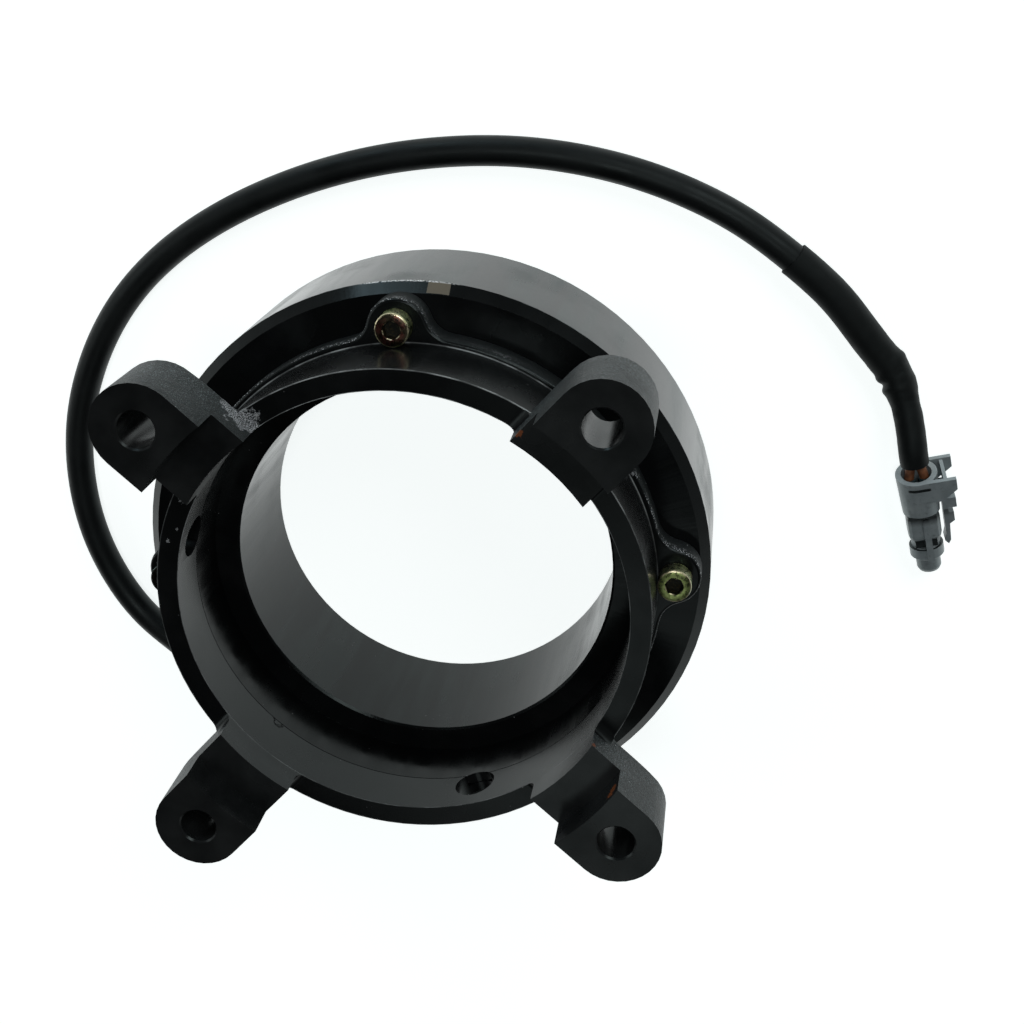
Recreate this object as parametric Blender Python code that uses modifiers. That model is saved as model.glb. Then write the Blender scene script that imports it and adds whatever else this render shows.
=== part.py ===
# Field coil of a magnetic clutch: a turned coil housing, the cast bracket that carries it,
# and the coil's lead with a two-way plug. Metres, +Z up.
# The housing stands on its pole face. The origin is on the bore axis, at floor level.
# The four lugs lie at 45 degrees to the X and Y axes, the four screws on those axes.

import math

import bmesh
import bpy
import numpy as np
from mathutils import Matrix, Vector

# Clearances
SEAT_GAP = 0.0003
FLOOR_GAP = 0.00005

# Coil housing, from the bore outwards: inner pole, coil slot, outer pole
BORE_RADIUS = 0.0586
INNER_POLE_WALL = 0.0074
SLOT_WIDTH = 0.0135
OUTER_POLE_WALL = 0.0085
SLOT_INNER_RADIUS = BORE_RADIUS + INNER_POLE_WALL
SLOT_OUTER_RADIUS = SLOT_INNER_RADIUS + SLOT_WIDTH
HOUSING_RADIUS = SLOT_OUTER_RADIUS + OUTER_POLE_WALL
HOUSING_HEIGHT = 0.0450
BACK_THICKNESS = 0.0130
SLOT_DEPTH = HOUSING_HEIGHT - BACK_THICKNESS
HOUSING_CHAMFER = 0.0030
EDGE_BREAK = 0.0007
SPIGOT_HEIGHT = 0.0174
SPIGOT_WALL = 0.0032

# Mounting bracket, its ring set back from the bore by a ledge
BORE_LEDGE = 0.0077
RING_INNER_RADIUS = BORE_RADIUS + BORE_LEDGE
RING_WALL = 0.0063
RING_HEIGHT = 0.0334
FLANGE_STEP = 0.0018
FLANGE_RADIUS = RING_INNER_RADIUS + RING_WALL + FLANGE_STEP
FLANGE_THICKNESS = 0.0080
EAR_RADIUS = 0.0090
EAR_SET_IN = 0.0013
EAR_FILLET = 0.0080
LUG_REACH = 0.0154
LUG_CIRCLE_RADIUS = RING_INNER_RADIUS + RING_WALL + LUG_REACH
LUG_WIDTH = 0.0264
LUG_THICKNESS = 0.0220
LUG_RISE = 0.0203
LUG_HOLE_RADIUS = 0.0054
LUG_HOLE_CHAMFER = 0.0005
LUG_ROOT_FILLET = 0.0030
SCALLOP_CORNER = 0.0030
REGISTER_STEP = 0.0047
REGISTER_RADIUS = RING_INNER_RADIUS + RING_WALL + REGISTER_STEP
REGISTER_DEPTH = 0.0103
LUG_COUNT = 4
SIDE_HOLE_RADIUS = 0.0063
SIDE_HOLE_DROP = 0.0112
SIDE_HOLE_START = math.radians(44.0)
SIDE_HOLE_COUNT = 3
MACHINING_STOCK = 0.0020

# Cap screws, M6, their heads close to the ring's wall
HEAD_RADIUS = 0.0050
HEAD_WALL_GAP = 0.0002
SCREW_CIRCLE_RADIUS = RING_INNER_RADIUS + RING_WALL + HEAD_WALL_GAP + HEAD_RADIUS
SCREW_RADIUS = 0.0030
SCREW_LENGTH = 0.0160
SCREW_HOLE_RADIUS = 0.0033
SCREW_HOLE_SPARE = 0.0010
SCREW_COUNT = 4
HEAD_HEIGHT = 0.0060
HEAD_CHAMFER = 0.0006
SOCKET_FLATS = 0.0050
SOCKET_DEPTH = 0.0032

# Coil
POTTING_THICKNESS = 0.0032
POTTING_RECESS = 0.0005
BOBBIN_WALL = 0.0012
LEAD_OUT_SPACE = 0.0043
TAPE_THICKNESS = 0.0006

# Lead exit, in a frame whose X runs out through the housing's wall and whose Y runs round it
LEAD_ANGLE = math.radians(235.0)
LEAD_HEIGHT = 0.0130
LEAD_HOLE_RADIUS = 0.0049
LEAD_PASSAGE_RADIUS = 0.0029
GROMMET_FLANGE_RADIUS = 0.0070
GROMMET_FLANGE_THICKNESS = 0.0028
GROMMET_BARREL_WALL = 0.0017
GROMMET_TAIL_WALL = 0.0007
GROMMET_TAIL_LENGTH = 0.0300
GROMMET_NOSE_LENGTH = 0.0062
GROMMET_NOSE_TAPER = 0.0025
COIL_LEAD_RADIUS = 0.0008
COIL_LEAD_SPREAD = 0.0017
COIL_LEAD_TURN = 0.0030
COIL_LEAD_SWEEP = math.radians(20.0)
SPLICE_RADIUS = 0.0013
SPLICE_LENGTH = 0.0080

# Cable and sleeve
CABLE_RADIUS = 0.0046
CABLE_END_OFFSET = 0.0140
SLEEVE_BORE_GAP = 0.0003
SLEEVE_WALL = 0.0004
SLEEVE_RADIUS = CABLE_RADIUS + SLEEVE_BORE_GAP + SLEEVE_WALL
WIRE_RADIUS = 0.0015
NECK_WIRE_GAP = 0.00045
NECK_WALL = 0.0008
SLEEVE_NECK_RADIUS = 2 * WIRE_RADIUS + SEAT_GAP / 2 + NECK_WIRE_GAP + NECK_WALL
SHEATH_END_GAP = 0.0010
LAST_ROUTE_OFFSET = 0.0060
POINT_SPACING = 4.0 * CABLE_RADIUS

# Plug, in a frame whose X runs from its mouth to its nose and whose Y points at its latch
PLUG_PLACE = (0.1502, 0.0181)
PLUG_HEADING = math.radians(-79.4)
PLUG_PITCH = math.radians(9.0)
COLLAR_LENGTH = 0.0148
COLLAR_STEP = 0.0020
MOUTH_TRIM = 0.0002
MOUTH_SLANT = math.radians(10.0)
CAVITY_RADIUS = 0.0018
CAVITY_OFFSET = 0.0023
SEAL_RADIUS = CAVITY_OFFSET - 0.0002
SEAL_START = 0.0032
SEAL_LENGTH = 0.0042
POCKET_RADIUS = CAVITY_OFFSET + SEAL_RADIUS + SEAT_GAP
POCKET_DEPTH = SEAL_START + SEAL_LENGTH + 2 * SEAT_GAP
COLLAR_WALL = 0.0010
COLLAR_MOUTH_WALL = 0.0017
COLLAR_RADIUS = POCKET_RADIUS + COLLAR_WALL
COLLAR_MOUTH_RADIUS = POCKET_RADIUS + COLLAR_MOUTH_WALL
COLLAR_SLIT_START = 0.0042
COLLAR_SLIT_WIDTH = 0.0008
COLLAR_SLIT_REACH = 0.0033
COLLAR_SLIT_FLOOR = 0.0006
PLUG_BODY_WIDTH = 0.0102
PLUG_BODY_LENGTH = 0.0094
PLUG_BODY_END = COLLAR_LENGTH + PLUG_BODY_LENGTH
PLUG_BODY_CORNER = 0.0022
PLUG_PART_OVERLAP = 0.0010
PLUG_RING_RADIUS = 0.0053
PLUG_RECESS_LENGTH = 0.0031
PLUG_RECESS_WALL = 0.0011
PLUG_RING_START = PLUG_BODY_END + PLUG_RECESS_LENGTH
PLUG_RING_LENGTH = 0.0040
PLUG_RING_END = PLUG_RING_START + PLUG_RING_LENGTH
PLUG_RING_GROOVE = 0.0008
PLUG_RING_CHAMFER = 0.0006
PLUG_NOSE_RADIUS = 0.0038
PLUG_NOSE_LENGTH = 0.0059
PLUG_LENGTH = PLUG_RING_END + PLUG_NOSE_LENGTH
PLUG_NOSE_ROUND = 0.0016
CAVITY_END = PLUG_RING_END - 0.0001
PIN_HOLE_RADIUS = 0.0009
WIRE_END = 0.0110
TERMINAL_END = CAVITY_END - 2 * SEAT_GAP
CRIMP_LENGTH = 0.0052
SOCKET_LENGTH = 0.0060
SOCKET_RADIUS = 0.0006
RIB_SETBACK = 0.0086
RIB_LENGTH = 0.0155
RIB_WIDTH = 0.0020
RIB_OFFSET = 0.0006
RIB_HEIGHT = 0.0012
EAR_PLATE_THICKNESS = 0.0014
EAR_PLATE_OFFSET = 0.0055
EAR_PLATE_REACH = 0.0112
EAR_PLATE_START = 0.0006
EAR_PLATE_CREST = 0.0044
EAR_PLATE_LENGTH = 0.0079
HOOD_REACH = 0.0086
HOOD_WALL = 0.0011
HOOD_LENGTH = 0.0043
LATCH_WIDTH = 0.0050
LATCH_GAP = 0.0013
LATCH_THICKNESS = 0.0015
LATCH_ROOT_START = 0.0060
LATCH_ROOT_LENGTH = 0.0038
LATCH_ROOT_DEPTH = 0.0030
LATCH_OVERHANG = 0.0020
LATCH_HOOK_LENGTH = 0.0022
LATCH_TAPER_LENGTH = 0.0060
THUMB_BLOCK_START = 0.0110
THUMB_BLOCK_LENGTH = 0.0034
THUMB_BLOCK_RISE = 0.0027
STOP_BLOCK_GAP = 0.0018
STOP_BLOCK_LENGTH = 0.0030
STOP_BLOCK_RISE = 0.0016

# The cable's free route on the floor, chosen by hand
CABLE_ROUTE = [
    (-0.0892, -0.0541, 0.0121), (-0.1000, -0.0474, 0.0086), (-0.1106, -0.0395, 0.0058),
    (-0.1204, -0.0247, 0.00465), (-0.1259, -0.0067, 0.00465), (-0.1272, 0.0117, 0.00465),
    (-0.1247, 0.0309, 0.00465), (-0.1187, 0.0481, 0.00465), (-0.1091, 0.0650, 0.00465),
    (-0.0973, 0.0789, 0.00465), (-0.0822, 0.0911, 0.00465), (-0.0661, 0.1003, 0.00465),
    (-0.0478, 0.1079, 0.00465), (-0.0299, 0.1132, 0.00465), (-0.0115, 0.1167, 0.00465),
    (0.0071, 0.1183, 0.00465), (0.0266, 0.1180, 0.00465), (0.0448, 0.1156, 0.00465),
    (0.0636, 0.1108, 0.00465), (0.0806, 0.1041, 0.0047), (0.0977, 0.0946, 0.0050),
    (0.1120, 0.0836, 0.00535), (0.1259, 0.0702, 0.00535), (0.1371, 0.0554, 0.0054),
    (0.1428, 0.0478, 0.0057), (0.1467, 0.0375, 0.0081), (0.1483, 0.0298, 0.0101),
]
SLEEVE_START_POINT = CABLE_ROUTE[21]
SHEATH_END_POINT = CABLE_ROUTE[24]

# Facets round a full turn
RING_FACETS = 96
COIL_FACETS = 48
HOLE_FACETS = 24
SMALL_FACETS = 16

# Heights and radii that follow from the sizes above
bracket_seat = HOUSING_HEIGHT + SEAT_GAP
ring_top = bracket_seat + RING_HEIGHT
ring_outer_radius = RING_INNER_RADIUS + RING_WALL
pad_top = ring_top + LUG_RISE
lug_underside = pad_top - LUG_THICKNESS
neck_top = pad_top - REGISTER_DEPTH
lug_half_width = LUG_WIDTH / 2
spigot_outer_radius = RING_INNER_RADIUS + SPIGOT_WALL
spigot_top = HOUSING_HEIGHT + SPIGOT_HEIGHT
flange_top = bracket_seat + FLANGE_THICKNESS
head_seat = flange_top + SEAT_GAP
screw_tip = head_seat - SCREW_LENGTH
side_hole_height = ring_top - SIDE_HOLE_DROP

potting_top = POTTING_RECESS + POTTING_THICKNESS
bobbin_bottom = potting_top + SEAT_GAP
bobbin_top = SLOT_DEPTH - SEAT_GAP
bobbin_bore = SLOT_INNER_RADIUS + SEAT_GAP
bobbin_core = bobbin_bore + BOBBIN_WALL
bobbin_rim = SLOT_OUTER_RADIUS - SEAT_GAP
winding_bottom = bobbin_bottom + BOBBIN_WALL + SEAT_GAP
winding_top = bobbin_top - BOBBIN_WALL - SEAT_GAP
winding_bore = bobbin_core + SEAT_GAP
winding_outer = SLOT_OUTER_RADIUS - LEAD_OUT_SPACE
tape_bore = winding_outer + SEAT_GAP
tape_outer = tape_bore + TAPE_THICKNESS
coil_lead_radius = tape_outer + SEAT_GAP + COIL_LEAD_RADIUS

grommet_seat = HOUSING_RADIUS + SEAT_GAP
cable_standoff = grommet_seat + GROMMET_FLANGE_THICKNESS + CABLE_RADIUS
cable_bore_radius = CABLE_RADIUS + SEAT_GAP
barrel_radius = cable_bore_radius + GROMMET_BARREL_WALL
plug_mouth_height = (PLUG_RING_END * math.sin(PLUG_PITCH)
                     + PLUG_RING_RADIUS * math.cos(PLUG_PITCH) + FLOOR_GAP)

plug_frame = (Matrix.Translation((*PLUG_PLACE, plug_mouth_height))
              @ Matrix.Rotation(PLUG_HEADING, 4, "Z") @ Matrix.Rotation(PLUG_PITCH, 4, "Y"))
lead_frame = Matrix.Translation((0, 0, LEAD_HEIGHT)) @ Matrix.Rotation(LEAD_ANGLE, 4, "Z")
lug_frame = Matrix.Rotation(math.pi / LUG_COUNT, 4, "Z")
x_from_z = Matrix.Rotation(math.pi / 2, 4, "Y")
y_from_z = Matrix.Rotation(-math.pi / 2, 4, "X")


def clear_scene():
    for thing in list(bpy.data.objects):
        bpy.data.objects.remove(thing, do_unlink=True)


def make_material(name, color, roughness, metallic=0.0):
    material = bpy.data.materials.new(name)
    material.use_nodes = True
    shader = material.node_tree.nodes["Principled BSDF"]
    shader.inputs["Base Color"].default_value = (*color, 1.0)
    shader.inputs["Roughness"].default_value = roughness
    shader.inputs["Metallic"].default_value = metallic
    material.diffuse_color = (*color, 1.0)
    return material


def add_object(name, data):
    thing = bpy.data.objects.new(name, data)
    bpy.context.scene.collection.objects.link(thing)
    return thing


def evaluated_mesh(thing):
    # The mesh with its modifiers done, in world space, loose caps welded
    bpy.context.view_layer.update()
    graph = bpy.context.evaluated_depsgraph_get()
    mesh = bpy.data.meshes.new_from_object(thing.evaluated_get(graph))
    mesh.transform(thing.matrix_world)
    work = bmesh.new()
    work.from_mesh(mesh)
    bmesh.ops.remove_doubles(work, verts=work.verts, dist=1e-7)
    work.to_mesh(mesh)
    work.free()
    return mesh


def settle(thing):
    # Makes an object a plain mesh at the origin
    name = thing.name
    mesh = evaluated_mesh(thing)
    bpy.data.objects.remove(thing, do_unlink=True)
    mesh.name = name
    return add_object(name, mesh)


def boolean(piece, tool, operation):
    step = piece.modifiers.new(operation.lower(), "BOOLEAN")
    step.operation = operation
    step.solver = "EXACT"
    step.object = tool
    result = settle(piece)
    bpy.data.objects.remove(tool, do_unlink=True)
    return result


def cut(piece, *tools):
    for tool in tools:
        piece = boolean(piece, tool, "DIFFERENCE")
    return piece


def join(piece, *others):
    for other in others:
        piece = boolean(piece, other, "UNION")
    return piece


def turned(name, profile, facets, closed=True):
    # A profile of (radius, height) points, turned about Z, outer side running down
    mesh = bpy.data.meshes.new(name)
    points = [(radius, 0.0, height) for radius, height in profile]
    edges = [(index, index + 1) for index in range(len(points) - 1)]
    if closed:
        edges.append((len(points) - 1, 0))
    mesh.from_pydata(points, edges, [])
    piece = add_object(name, mesh)
    screw = piece.modifiers.new("turn", "SCREW")
    screw.steps = facets
    screw.render_steps = facets
    screw.use_merge_vertices = True
    screw.merge_threshold = 1e-5
    return settle(piece)


def rod(name, radius, low, high, facets):
    return turned(name, [(0.0, high), (radius, high), (radius, low), (0.0, low)], facets, closed=False)


def chamfered_hole(name, radius, low, high, chamfer, facets):
    # A cutter that breaks the edge of the hole at both faces
    over = 0.001
    profile = [
        (0.0, high + over), (radius + chamfer + over, high + over), (radius, high - chamfer),
        (radius, low + chamfer), (radius + chamfer + over, low - over), (0.0, low - over),
    ]
    return turned(name, profile, facets, closed=False)


def plate(name, outline, low, high):
    # A flat outline in X and Y, from one height to the other
    curve = bpy.data.curves.new(name, "CURVE")
    curve.dimensions = "2D"
    curve.fill_mode = "BOTH"
    curve.extrude = (high - low) / 2
    spline = curve.splines.new("POLY")
    spline.points.add(len(outline) - 1)
    for point, (x, y) in zip(spline.points, outline):
        point.co = (x, y, 0.0, 1.0)
    spline.use_cyclic_u = True
    piece = add_object(name, curve)
    piece.location.z = (high + low) / 2
    return settle(piece)


def box(name, low, high, bevel=0.0, segments=3):
    work = bmesh.new()
    bmesh.ops.create_cube(work, size=1.0)
    low, high = Vector(low), Vector(high)
    bmesh.ops.scale(work, vec=high - low, verts=work.verts)
    bmesh.ops.translate(work, vec=(high + low) / 2, verts=work.verts)
    mesh = bpy.data.meshes.new(name)
    work.to_mesh(mesh)
    work.free()
    piece = add_object(name, mesh)
    if bevel:
        rounding = piece.modifiers.new("corners", "BEVEL")
        rounding.width = bevel
        rounding.segments = segments
        rounding.limit_method = "ANGLE"
        piece = settle(piece)
    return piece


def moved(piece, matrix):
    piece.data.transform(matrix)
    return piece


def tube(name, points, radius, resolution=2, radii=None):
    curve = bpy.data.curves.new(name, "CURVE")
    curve.dimensions = "3D"
    curve.bevel_depth = radius
    curve.bevel_resolution = resolution
    curve.use_fill_caps = True
    spline = curve.splines.new("POLY")
    spline.points.add(len(points) - 1)
    for index, point in enumerate(points):
        spline.points[index].co = (*point, 1.0)
        spline.points[index].radius = radii[index] / radius if radii else 1.0
    return settle(add_object(name, curve))


def arc(center, radius, start, end, count):
    # Points on a circle, both ends included
    return [
        (center[0] + radius * math.cos(angle), center[1] + radius * math.sin(angle))
        for angle in np.linspace(start, end, count)
    ]


def spline_through(points, samples_per_span=12):
    # A natural cubic spline through the points, read at even steps of each span
    knots = np.array(points, dtype=float)
    spans = np.linalg.norm(np.diff(knots, axis=0), axis=1)
    count = len(knots)
    matrix = np.eye(count)
    right = np.zeros_like(knots)
    for index in range(1, count - 1):
        before, after = spans[index - 1], spans[index]
        matrix[index, index - 1:index + 2] = before, 2 * (before + after), after
        right[index] = 6 * ((knots[index + 1] - knots[index]) / after
                            - (knots[index] - knots[index - 1]) / before)
    bends = np.linalg.solve(matrix, right)
    line = []
    for index, span in enumerate(spans):
        for step in np.linspace(0.0, 1.0, samples_per_span, endpoint=False):
            far, near = step * span, (1.0 - step) * span
            line.append(
                bends[index] * near ** 3 / (6 * span) + bends[index + 1] * far ** 3 / (6 * span)
                + (knots[index] / span - bends[index] * span / 6) * near
                + (knots[index + 1] / span - bends[index + 1] * span / 6) * far)
    line.append(knots[-1])
    return np.array(line)


def even_points(line, spacing):
    # The same line with points at even distances
    distance = np.concatenate([[0.0], np.cumsum(np.linalg.norm(np.diff(line, axis=0), axis=1))])
    count = max(2, round(distance[-1] / spacing) + 1)
    marks = np.linspace(0.0, distance[-1], count)
    return np.column_stack([np.interp(marks, distance, line[:, axis]) for axis in range(3)])


def nearest_index(line, point):
    return int(np.argmin(np.linalg.norm(line - np.array(point), axis=1)))


def finish_piece(piece, name, material):
    piece.name = name
    piece.data.name = name
    piece.data.materials.clear()
    piece.data.materials.append(material)
    piece.data.shade_smooth()
    piece.data.set_sharp_from_angle(angle=math.radians(32.0))
    return piece


def make_coil_housing(material):
    profile = [
        (spigot_outer_radius, spigot_top - EDGE_BREAK),
        (spigot_outer_radius, HOUSING_HEIGHT),
        (HOUSING_RADIUS - HOUSING_CHAMFER, HOUSING_HEIGHT),
        (HOUSING_RADIUS, HOUSING_HEIGHT - HOUSING_CHAMFER),
        (HOUSING_RADIUS, EDGE_BREAK),
        (HOUSING_RADIUS - EDGE_BREAK, 0.0),
        (SLOT_OUTER_RADIUS, 0.0),
        (SLOT_OUTER_RADIUS, SLOT_DEPTH),
        (SLOT_INNER_RADIUS, SLOT_DEPTH),
        (SLOT_INNER_RADIUS, 0.0),
        (BORE_RADIUS + EDGE_BREAK, 0.0),
        (BORE_RADIUS, EDGE_BREAK),
        (BORE_RADIUS, HOUSING_HEIGHT - EDGE_BREAK),
        (BORE_RADIUS + EDGE_BREAK, HOUSING_HEIGHT),
        (RING_INNER_RADIUS, HOUSING_HEIGHT),
        (RING_INNER_RADIUS, spigot_top),
        (spigot_outer_radius - EDGE_BREAK, spigot_top),
    ]
    housing = turned("housing", profile, RING_FACETS)
    hole_floor = screw_tip - SCREW_HOLE_SPARE
    for index in range(SCREW_COUNT):
        drill = rod("drill", SCREW_HOLE_RADIUS, hole_floor, HOUSING_HEIGHT + SPIGOT_HEIGHT, HOLE_FACETS)
        housing = cut(housing, moved(drill, screw_place(index)))
    exit_drill = rod("drill", LEAD_HOLE_RADIUS, coil_lead_radius, HOUSING_RADIUS + HOUSING_CHAMFER,
                     HOLE_FACETS)
    housing = cut(housing, moved(exit_drill, lead_frame @ x_from_z))
    for drill in side_drills():
        housing = cut(housing, drill)
    return finish_piece(housing, "coil_housing", material)


def screw_place(index):
    turn = Matrix.Rotation(2 * math.pi * index / SCREW_COUNT, 4, "Z")
    return turn @ Matrix.Translation((SCREW_CIRCLE_RADIUS, 0.0, 0.0))


def side_drills():
    # The three radial holes are drilled through the ring wall and the spigot's edge together
    drills = []
    for index in range(SIDE_HOLE_COUNT):
        angle = SIDE_HOLE_START + 2 * math.pi * index / SIDE_HOLE_COUNT
        drill = rod("drill", SIDE_HOLE_RADIUS, BORE_RADIUS, FLANGE_RADIUS + EAR_RADIUS, HOLE_FACETS)
        place = (Matrix.Translation((0, 0, side_hole_height)) @ Matrix.Rotation(angle, 4, "Z")
                 @ x_from_z)
        drills.append(moved(drill, place))
    return drills


def flange_outline():
    # A circle with four round ears, each blended into it by two concave fillets
    ear_circle = SCREW_CIRCLE_RADIUS - EAR_SET_IN
    blend_radius = FLANGE_RADIUS + EAR_FILLET
    reach = EAR_RADIUS + EAR_FILLET
    blend_angle = math.acos((ear_circle ** 2 + blend_radius ** 2 - reach ** 2)
                            / (2 * ear_circle * blend_radius))
    outline = []
    for index in range(SCREW_COUNT):
        middle = 2 * math.pi * index / SCREW_COUNT
        ear = (ear_circle * math.cos(middle), ear_circle * math.sin(middle))
        entry = (blend_radius * math.cos(middle - blend_angle),
                 blend_radius * math.sin(middle - blend_angle))
        leave = (blend_radius * math.cos(middle + blend_angle),
                 blend_radius * math.sin(middle + blend_angle))
        to_entry = math.atan2(entry[1] - ear[1], entry[0] - ear[0])
        to_leave = math.atan2(leave[1] - ear[1], leave[0] - ear[0])
        if to_leave < to_entry:
            to_leave += 2 * math.pi
        sweep = to_leave - to_entry
        turn_in = (middle - blend_angle) - to_entry
        turn_in = (turn_in + math.pi) % (2 * math.pi) - math.pi
        outline += arc(entry, EAR_FILLET, to_entry + turn_in + math.pi, to_entry + math.pi, 7)
        outline += arc(ear, EAR_RADIUS, to_entry, to_entry + sweep, 15)[1:-1]
        outline += arc(leave, EAR_FILLET, to_leave + math.pi, to_leave - turn_in + math.pi, 7)
        rim_start = middle + blend_angle
        rim_end = middle + 2 * math.pi / SCREW_COUNT - blend_angle
        outline += arc((0.0, 0.0), FLANGE_RADIUS, rim_start, rim_end, 19)[1:-1]
    return outline


def quadrant_boxes(low, corner):
    # The spaces between the lugs, each a quarter of the plan set in by just under half a lug
    near = lug_half_width - FLOOR_GAP
    far = LUG_CIRCLE_RADIUS + LUG_WIDTH
    blocks = []
    for index in range(LUG_COUNT):
        block = box("between_lugs", (near, near, low), (far, far, low + far), corner, 5)
        blocks.append(moved(block, Matrix.Rotation(2 * math.pi * index / LUG_COUNT, 4, "Z")))
    return blocks


def make_mounting_bracket(material):
    # Built with the lugs on the axes, then turned; cast first, machined after
    stock = MACHINING_STOCK
    wall_foot = bracket_seat + FLANGE_THICKNESS / 2
    casting = turned("casting", [
        (ring_outer_radius, neck_top), (ring_outer_radius, wall_foot),
        (RING_INNER_RADIUS - stock, wall_foot), (RING_INNER_RADIUS - stock, neck_top),
    ], RING_FACETS)
    casting = cut(casting, *quadrant_boxes(ring_top, SCALLOP_CORNER))
    root = [(ring_outer_radius + LUG_ROOT_FILLET, lug_underside + stock)]
    root += arc((ring_outer_radius + LUG_ROOT_FILLET, lug_underside - LUG_ROOT_FILLET),
                LUG_ROOT_FILLET, math.pi / 2, math.pi, 6)
    root += [(ring_outer_radius - stock, lug_underside - LUG_ROOT_FILLET),
             (ring_outer_radius - stock, lug_underside + stock)]
    roots = turned("roots", root, RING_FACETS)
    roots = cut(roots, *quadrant_boxes(lug_underside - 2 * LUG_ROOT_FILLET, 0.0))
    casting = join(casting, roots)
    for index in range(LUG_COUNT):
        outline = [(RING_INNER_RADIUS - 2 * stock, lug_half_width),
                   (RING_INNER_RADIUS - 2 * stock, -lug_half_width)]
        outline += arc((LUG_CIRCLE_RADIUS, 0.0), lug_half_width, -math.pi / 2, math.pi / 2, 17)
        lug = plate("lug", outline, lug_underside, pad_top)
        casting = join(casting, moved(lug, Matrix.Rotation(2 * math.pi * index / LUG_COUNT, 4, "Z")))
    flange = plate("flange", flange_outline(), bracket_seat, flange_top)
    casting = join(casting, moved(flange, lug_frame.inverted()))
    bore = rod("bore", RING_INNER_RADIUS, 0.0, pad_top + stock, RING_FACETS)
    counterbore = rod("counterbore", spigot_outer_radius + SEAT_GAP, 0.0, spigot_top + SEAT_GAP,
                      RING_FACETS)
    register = rod("register", REGISTER_RADIUS, neck_top, pad_top + stock, RING_FACETS)
    casting = cut(casting, bore, counterbore, register)
    for index in range(LUG_COUNT):
        hole = chamfered_hole("hole", LUG_HOLE_RADIUS, lug_underside, pad_top, LUG_HOLE_CHAMFER,
                              HOLE_FACETS)
        place = (Matrix.Rotation(2 * math.pi * index / LUG_COUNT, 4, "Z")
                 @ Matrix.Translation((LUG_CIRCLE_RADIUS, 0.0, 0.0)))
        casting = cut(casting, moved(hole, place))
    casting = moved(casting, lug_frame)
    for index in range(SCREW_COUNT):
        drill = rod("drill", SCREW_HOLE_RADIUS, 0.0, flange_top + HEAD_HEIGHT, HOLE_FACETS)
        casting = cut(casting, moved(drill, screw_place(index)))
    for drill in side_drills():
        casting = cut(casting, drill)
    return finish_piece(casting, "mounting_bracket", material)


def make_cap_screw(index, material):
    head_top = head_seat + HEAD_HEIGHT
    profile = [
        (0.0, head_top), (HEAD_RADIUS - HEAD_CHAMFER, head_top),
        (HEAD_RADIUS, head_top - HEAD_CHAMFER), (HEAD_RADIUS, head_seat),
        (SCREW_RADIUS, head_seat), (SCREW_RADIUS, screw_tip + HEAD_CHAMFER),
        (SCREW_RADIUS - HEAD_CHAMFER, screw_tip), (0.0, screw_tip),
    ]
    screw = turned("screw", profile, HOLE_FACETS, closed=False)
    socket = rod("socket", SOCKET_FLATS / math.sqrt(3.0), head_top - SOCKET_DEPTH,
                 head_top + SOCKET_DEPTH, 6)
    screw = cut(screw, socket)
    return finish_piece(moved(screw, screw_place(index)), f"cap_screw_{index + 1}", material)


def ring(name, inner, outer, low, high, material):
    profile = [(outer, high), (outer, low), (inner, low), (inner, high)]
    return finish_piece(turned(name, profile, COIL_FACETS), name, material)


def make_bobbin(material):
    profile = [
        (bobbin_rim, bobbin_top), (bobbin_rim, bobbin_top - BOBBIN_WALL),
        (bobbin_core, bobbin_top - BOBBIN_WALL), (bobbin_core, bobbin_bottom + BOBBIN_WALL),
        (bobbin_rim, bobbin_bottom + BOBBIN_WALL), (bobbin_rim, bobbin_bottom),
        (bobbin_bore, bobbin_bottom), (bobbin_bore, bobbin_top),
    ]
    return finish_piece(turned("bobbin", profile, COIL_FACETS), "coil_bobbin", material)


def make_grommet(material):
    # A moulded elbow: the neck fills the wall's hole, the barrel takes the cable along the wall
    barrel_profile = [
        (0.0, GROMMET_TAIL_LENGTH), (cable_bore_radius + GROMMET_TAIL_WALL, GROMMET_TAIL_LENGTH),
        (barrel_radius, GROMMET_TAIL_LENGTH / 2),
        (barrel_radius, GROMMET_NOSE_TAPER - GROMMET_NOSE_LENGTH),
        (barrel_radius - GROMMET_NOSE_TAPER, -GROMMET_NOSE_LENGTH), (0.0, -GROMMET_NOSE_LENGTH),
    ]
    barrel = turned("barrel", barrel_profile, HOLE_FACETS, closed=False)
    along_wall = Matrix.Translation((cable_standoff, 0, 0)) @ y_from_z.inverted()
    barrel = moved(barrel, along_wall)
    flange = rod("seat", GROMMET_FLANGE_RADIUS, grommet_seat, cable_standoff, HOLE_FACETS)
    neck = rod("neck", LEAD_HOLE_RADIUS - SEAT_GAP, SLOT_OUTER_RADIUS, cable_standoff, HOLE_FACETS)
    grommet = join(barrel, moved(flange, x_from_z), moved(neck, x_from_z))
    cable_bore = rod("bore", cable_bore_radius, -LEAD_PASSAGE_RADIUS, 2 * GROMMET_TAIL_LENGTH,
                     HOLE_FACETS)
    passage = rod("passage", LEAD_PASSAGE_RADIUS, BORE_RADIUS, cable_standoff, SMALL_FACETS)
    grommet = cut(grommet, moved(cable_bore, along_wall), moved(passage, x_from_z))
    return finish_piece(moved(grommet, lead_frame), "cable_grommet", material)


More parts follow.
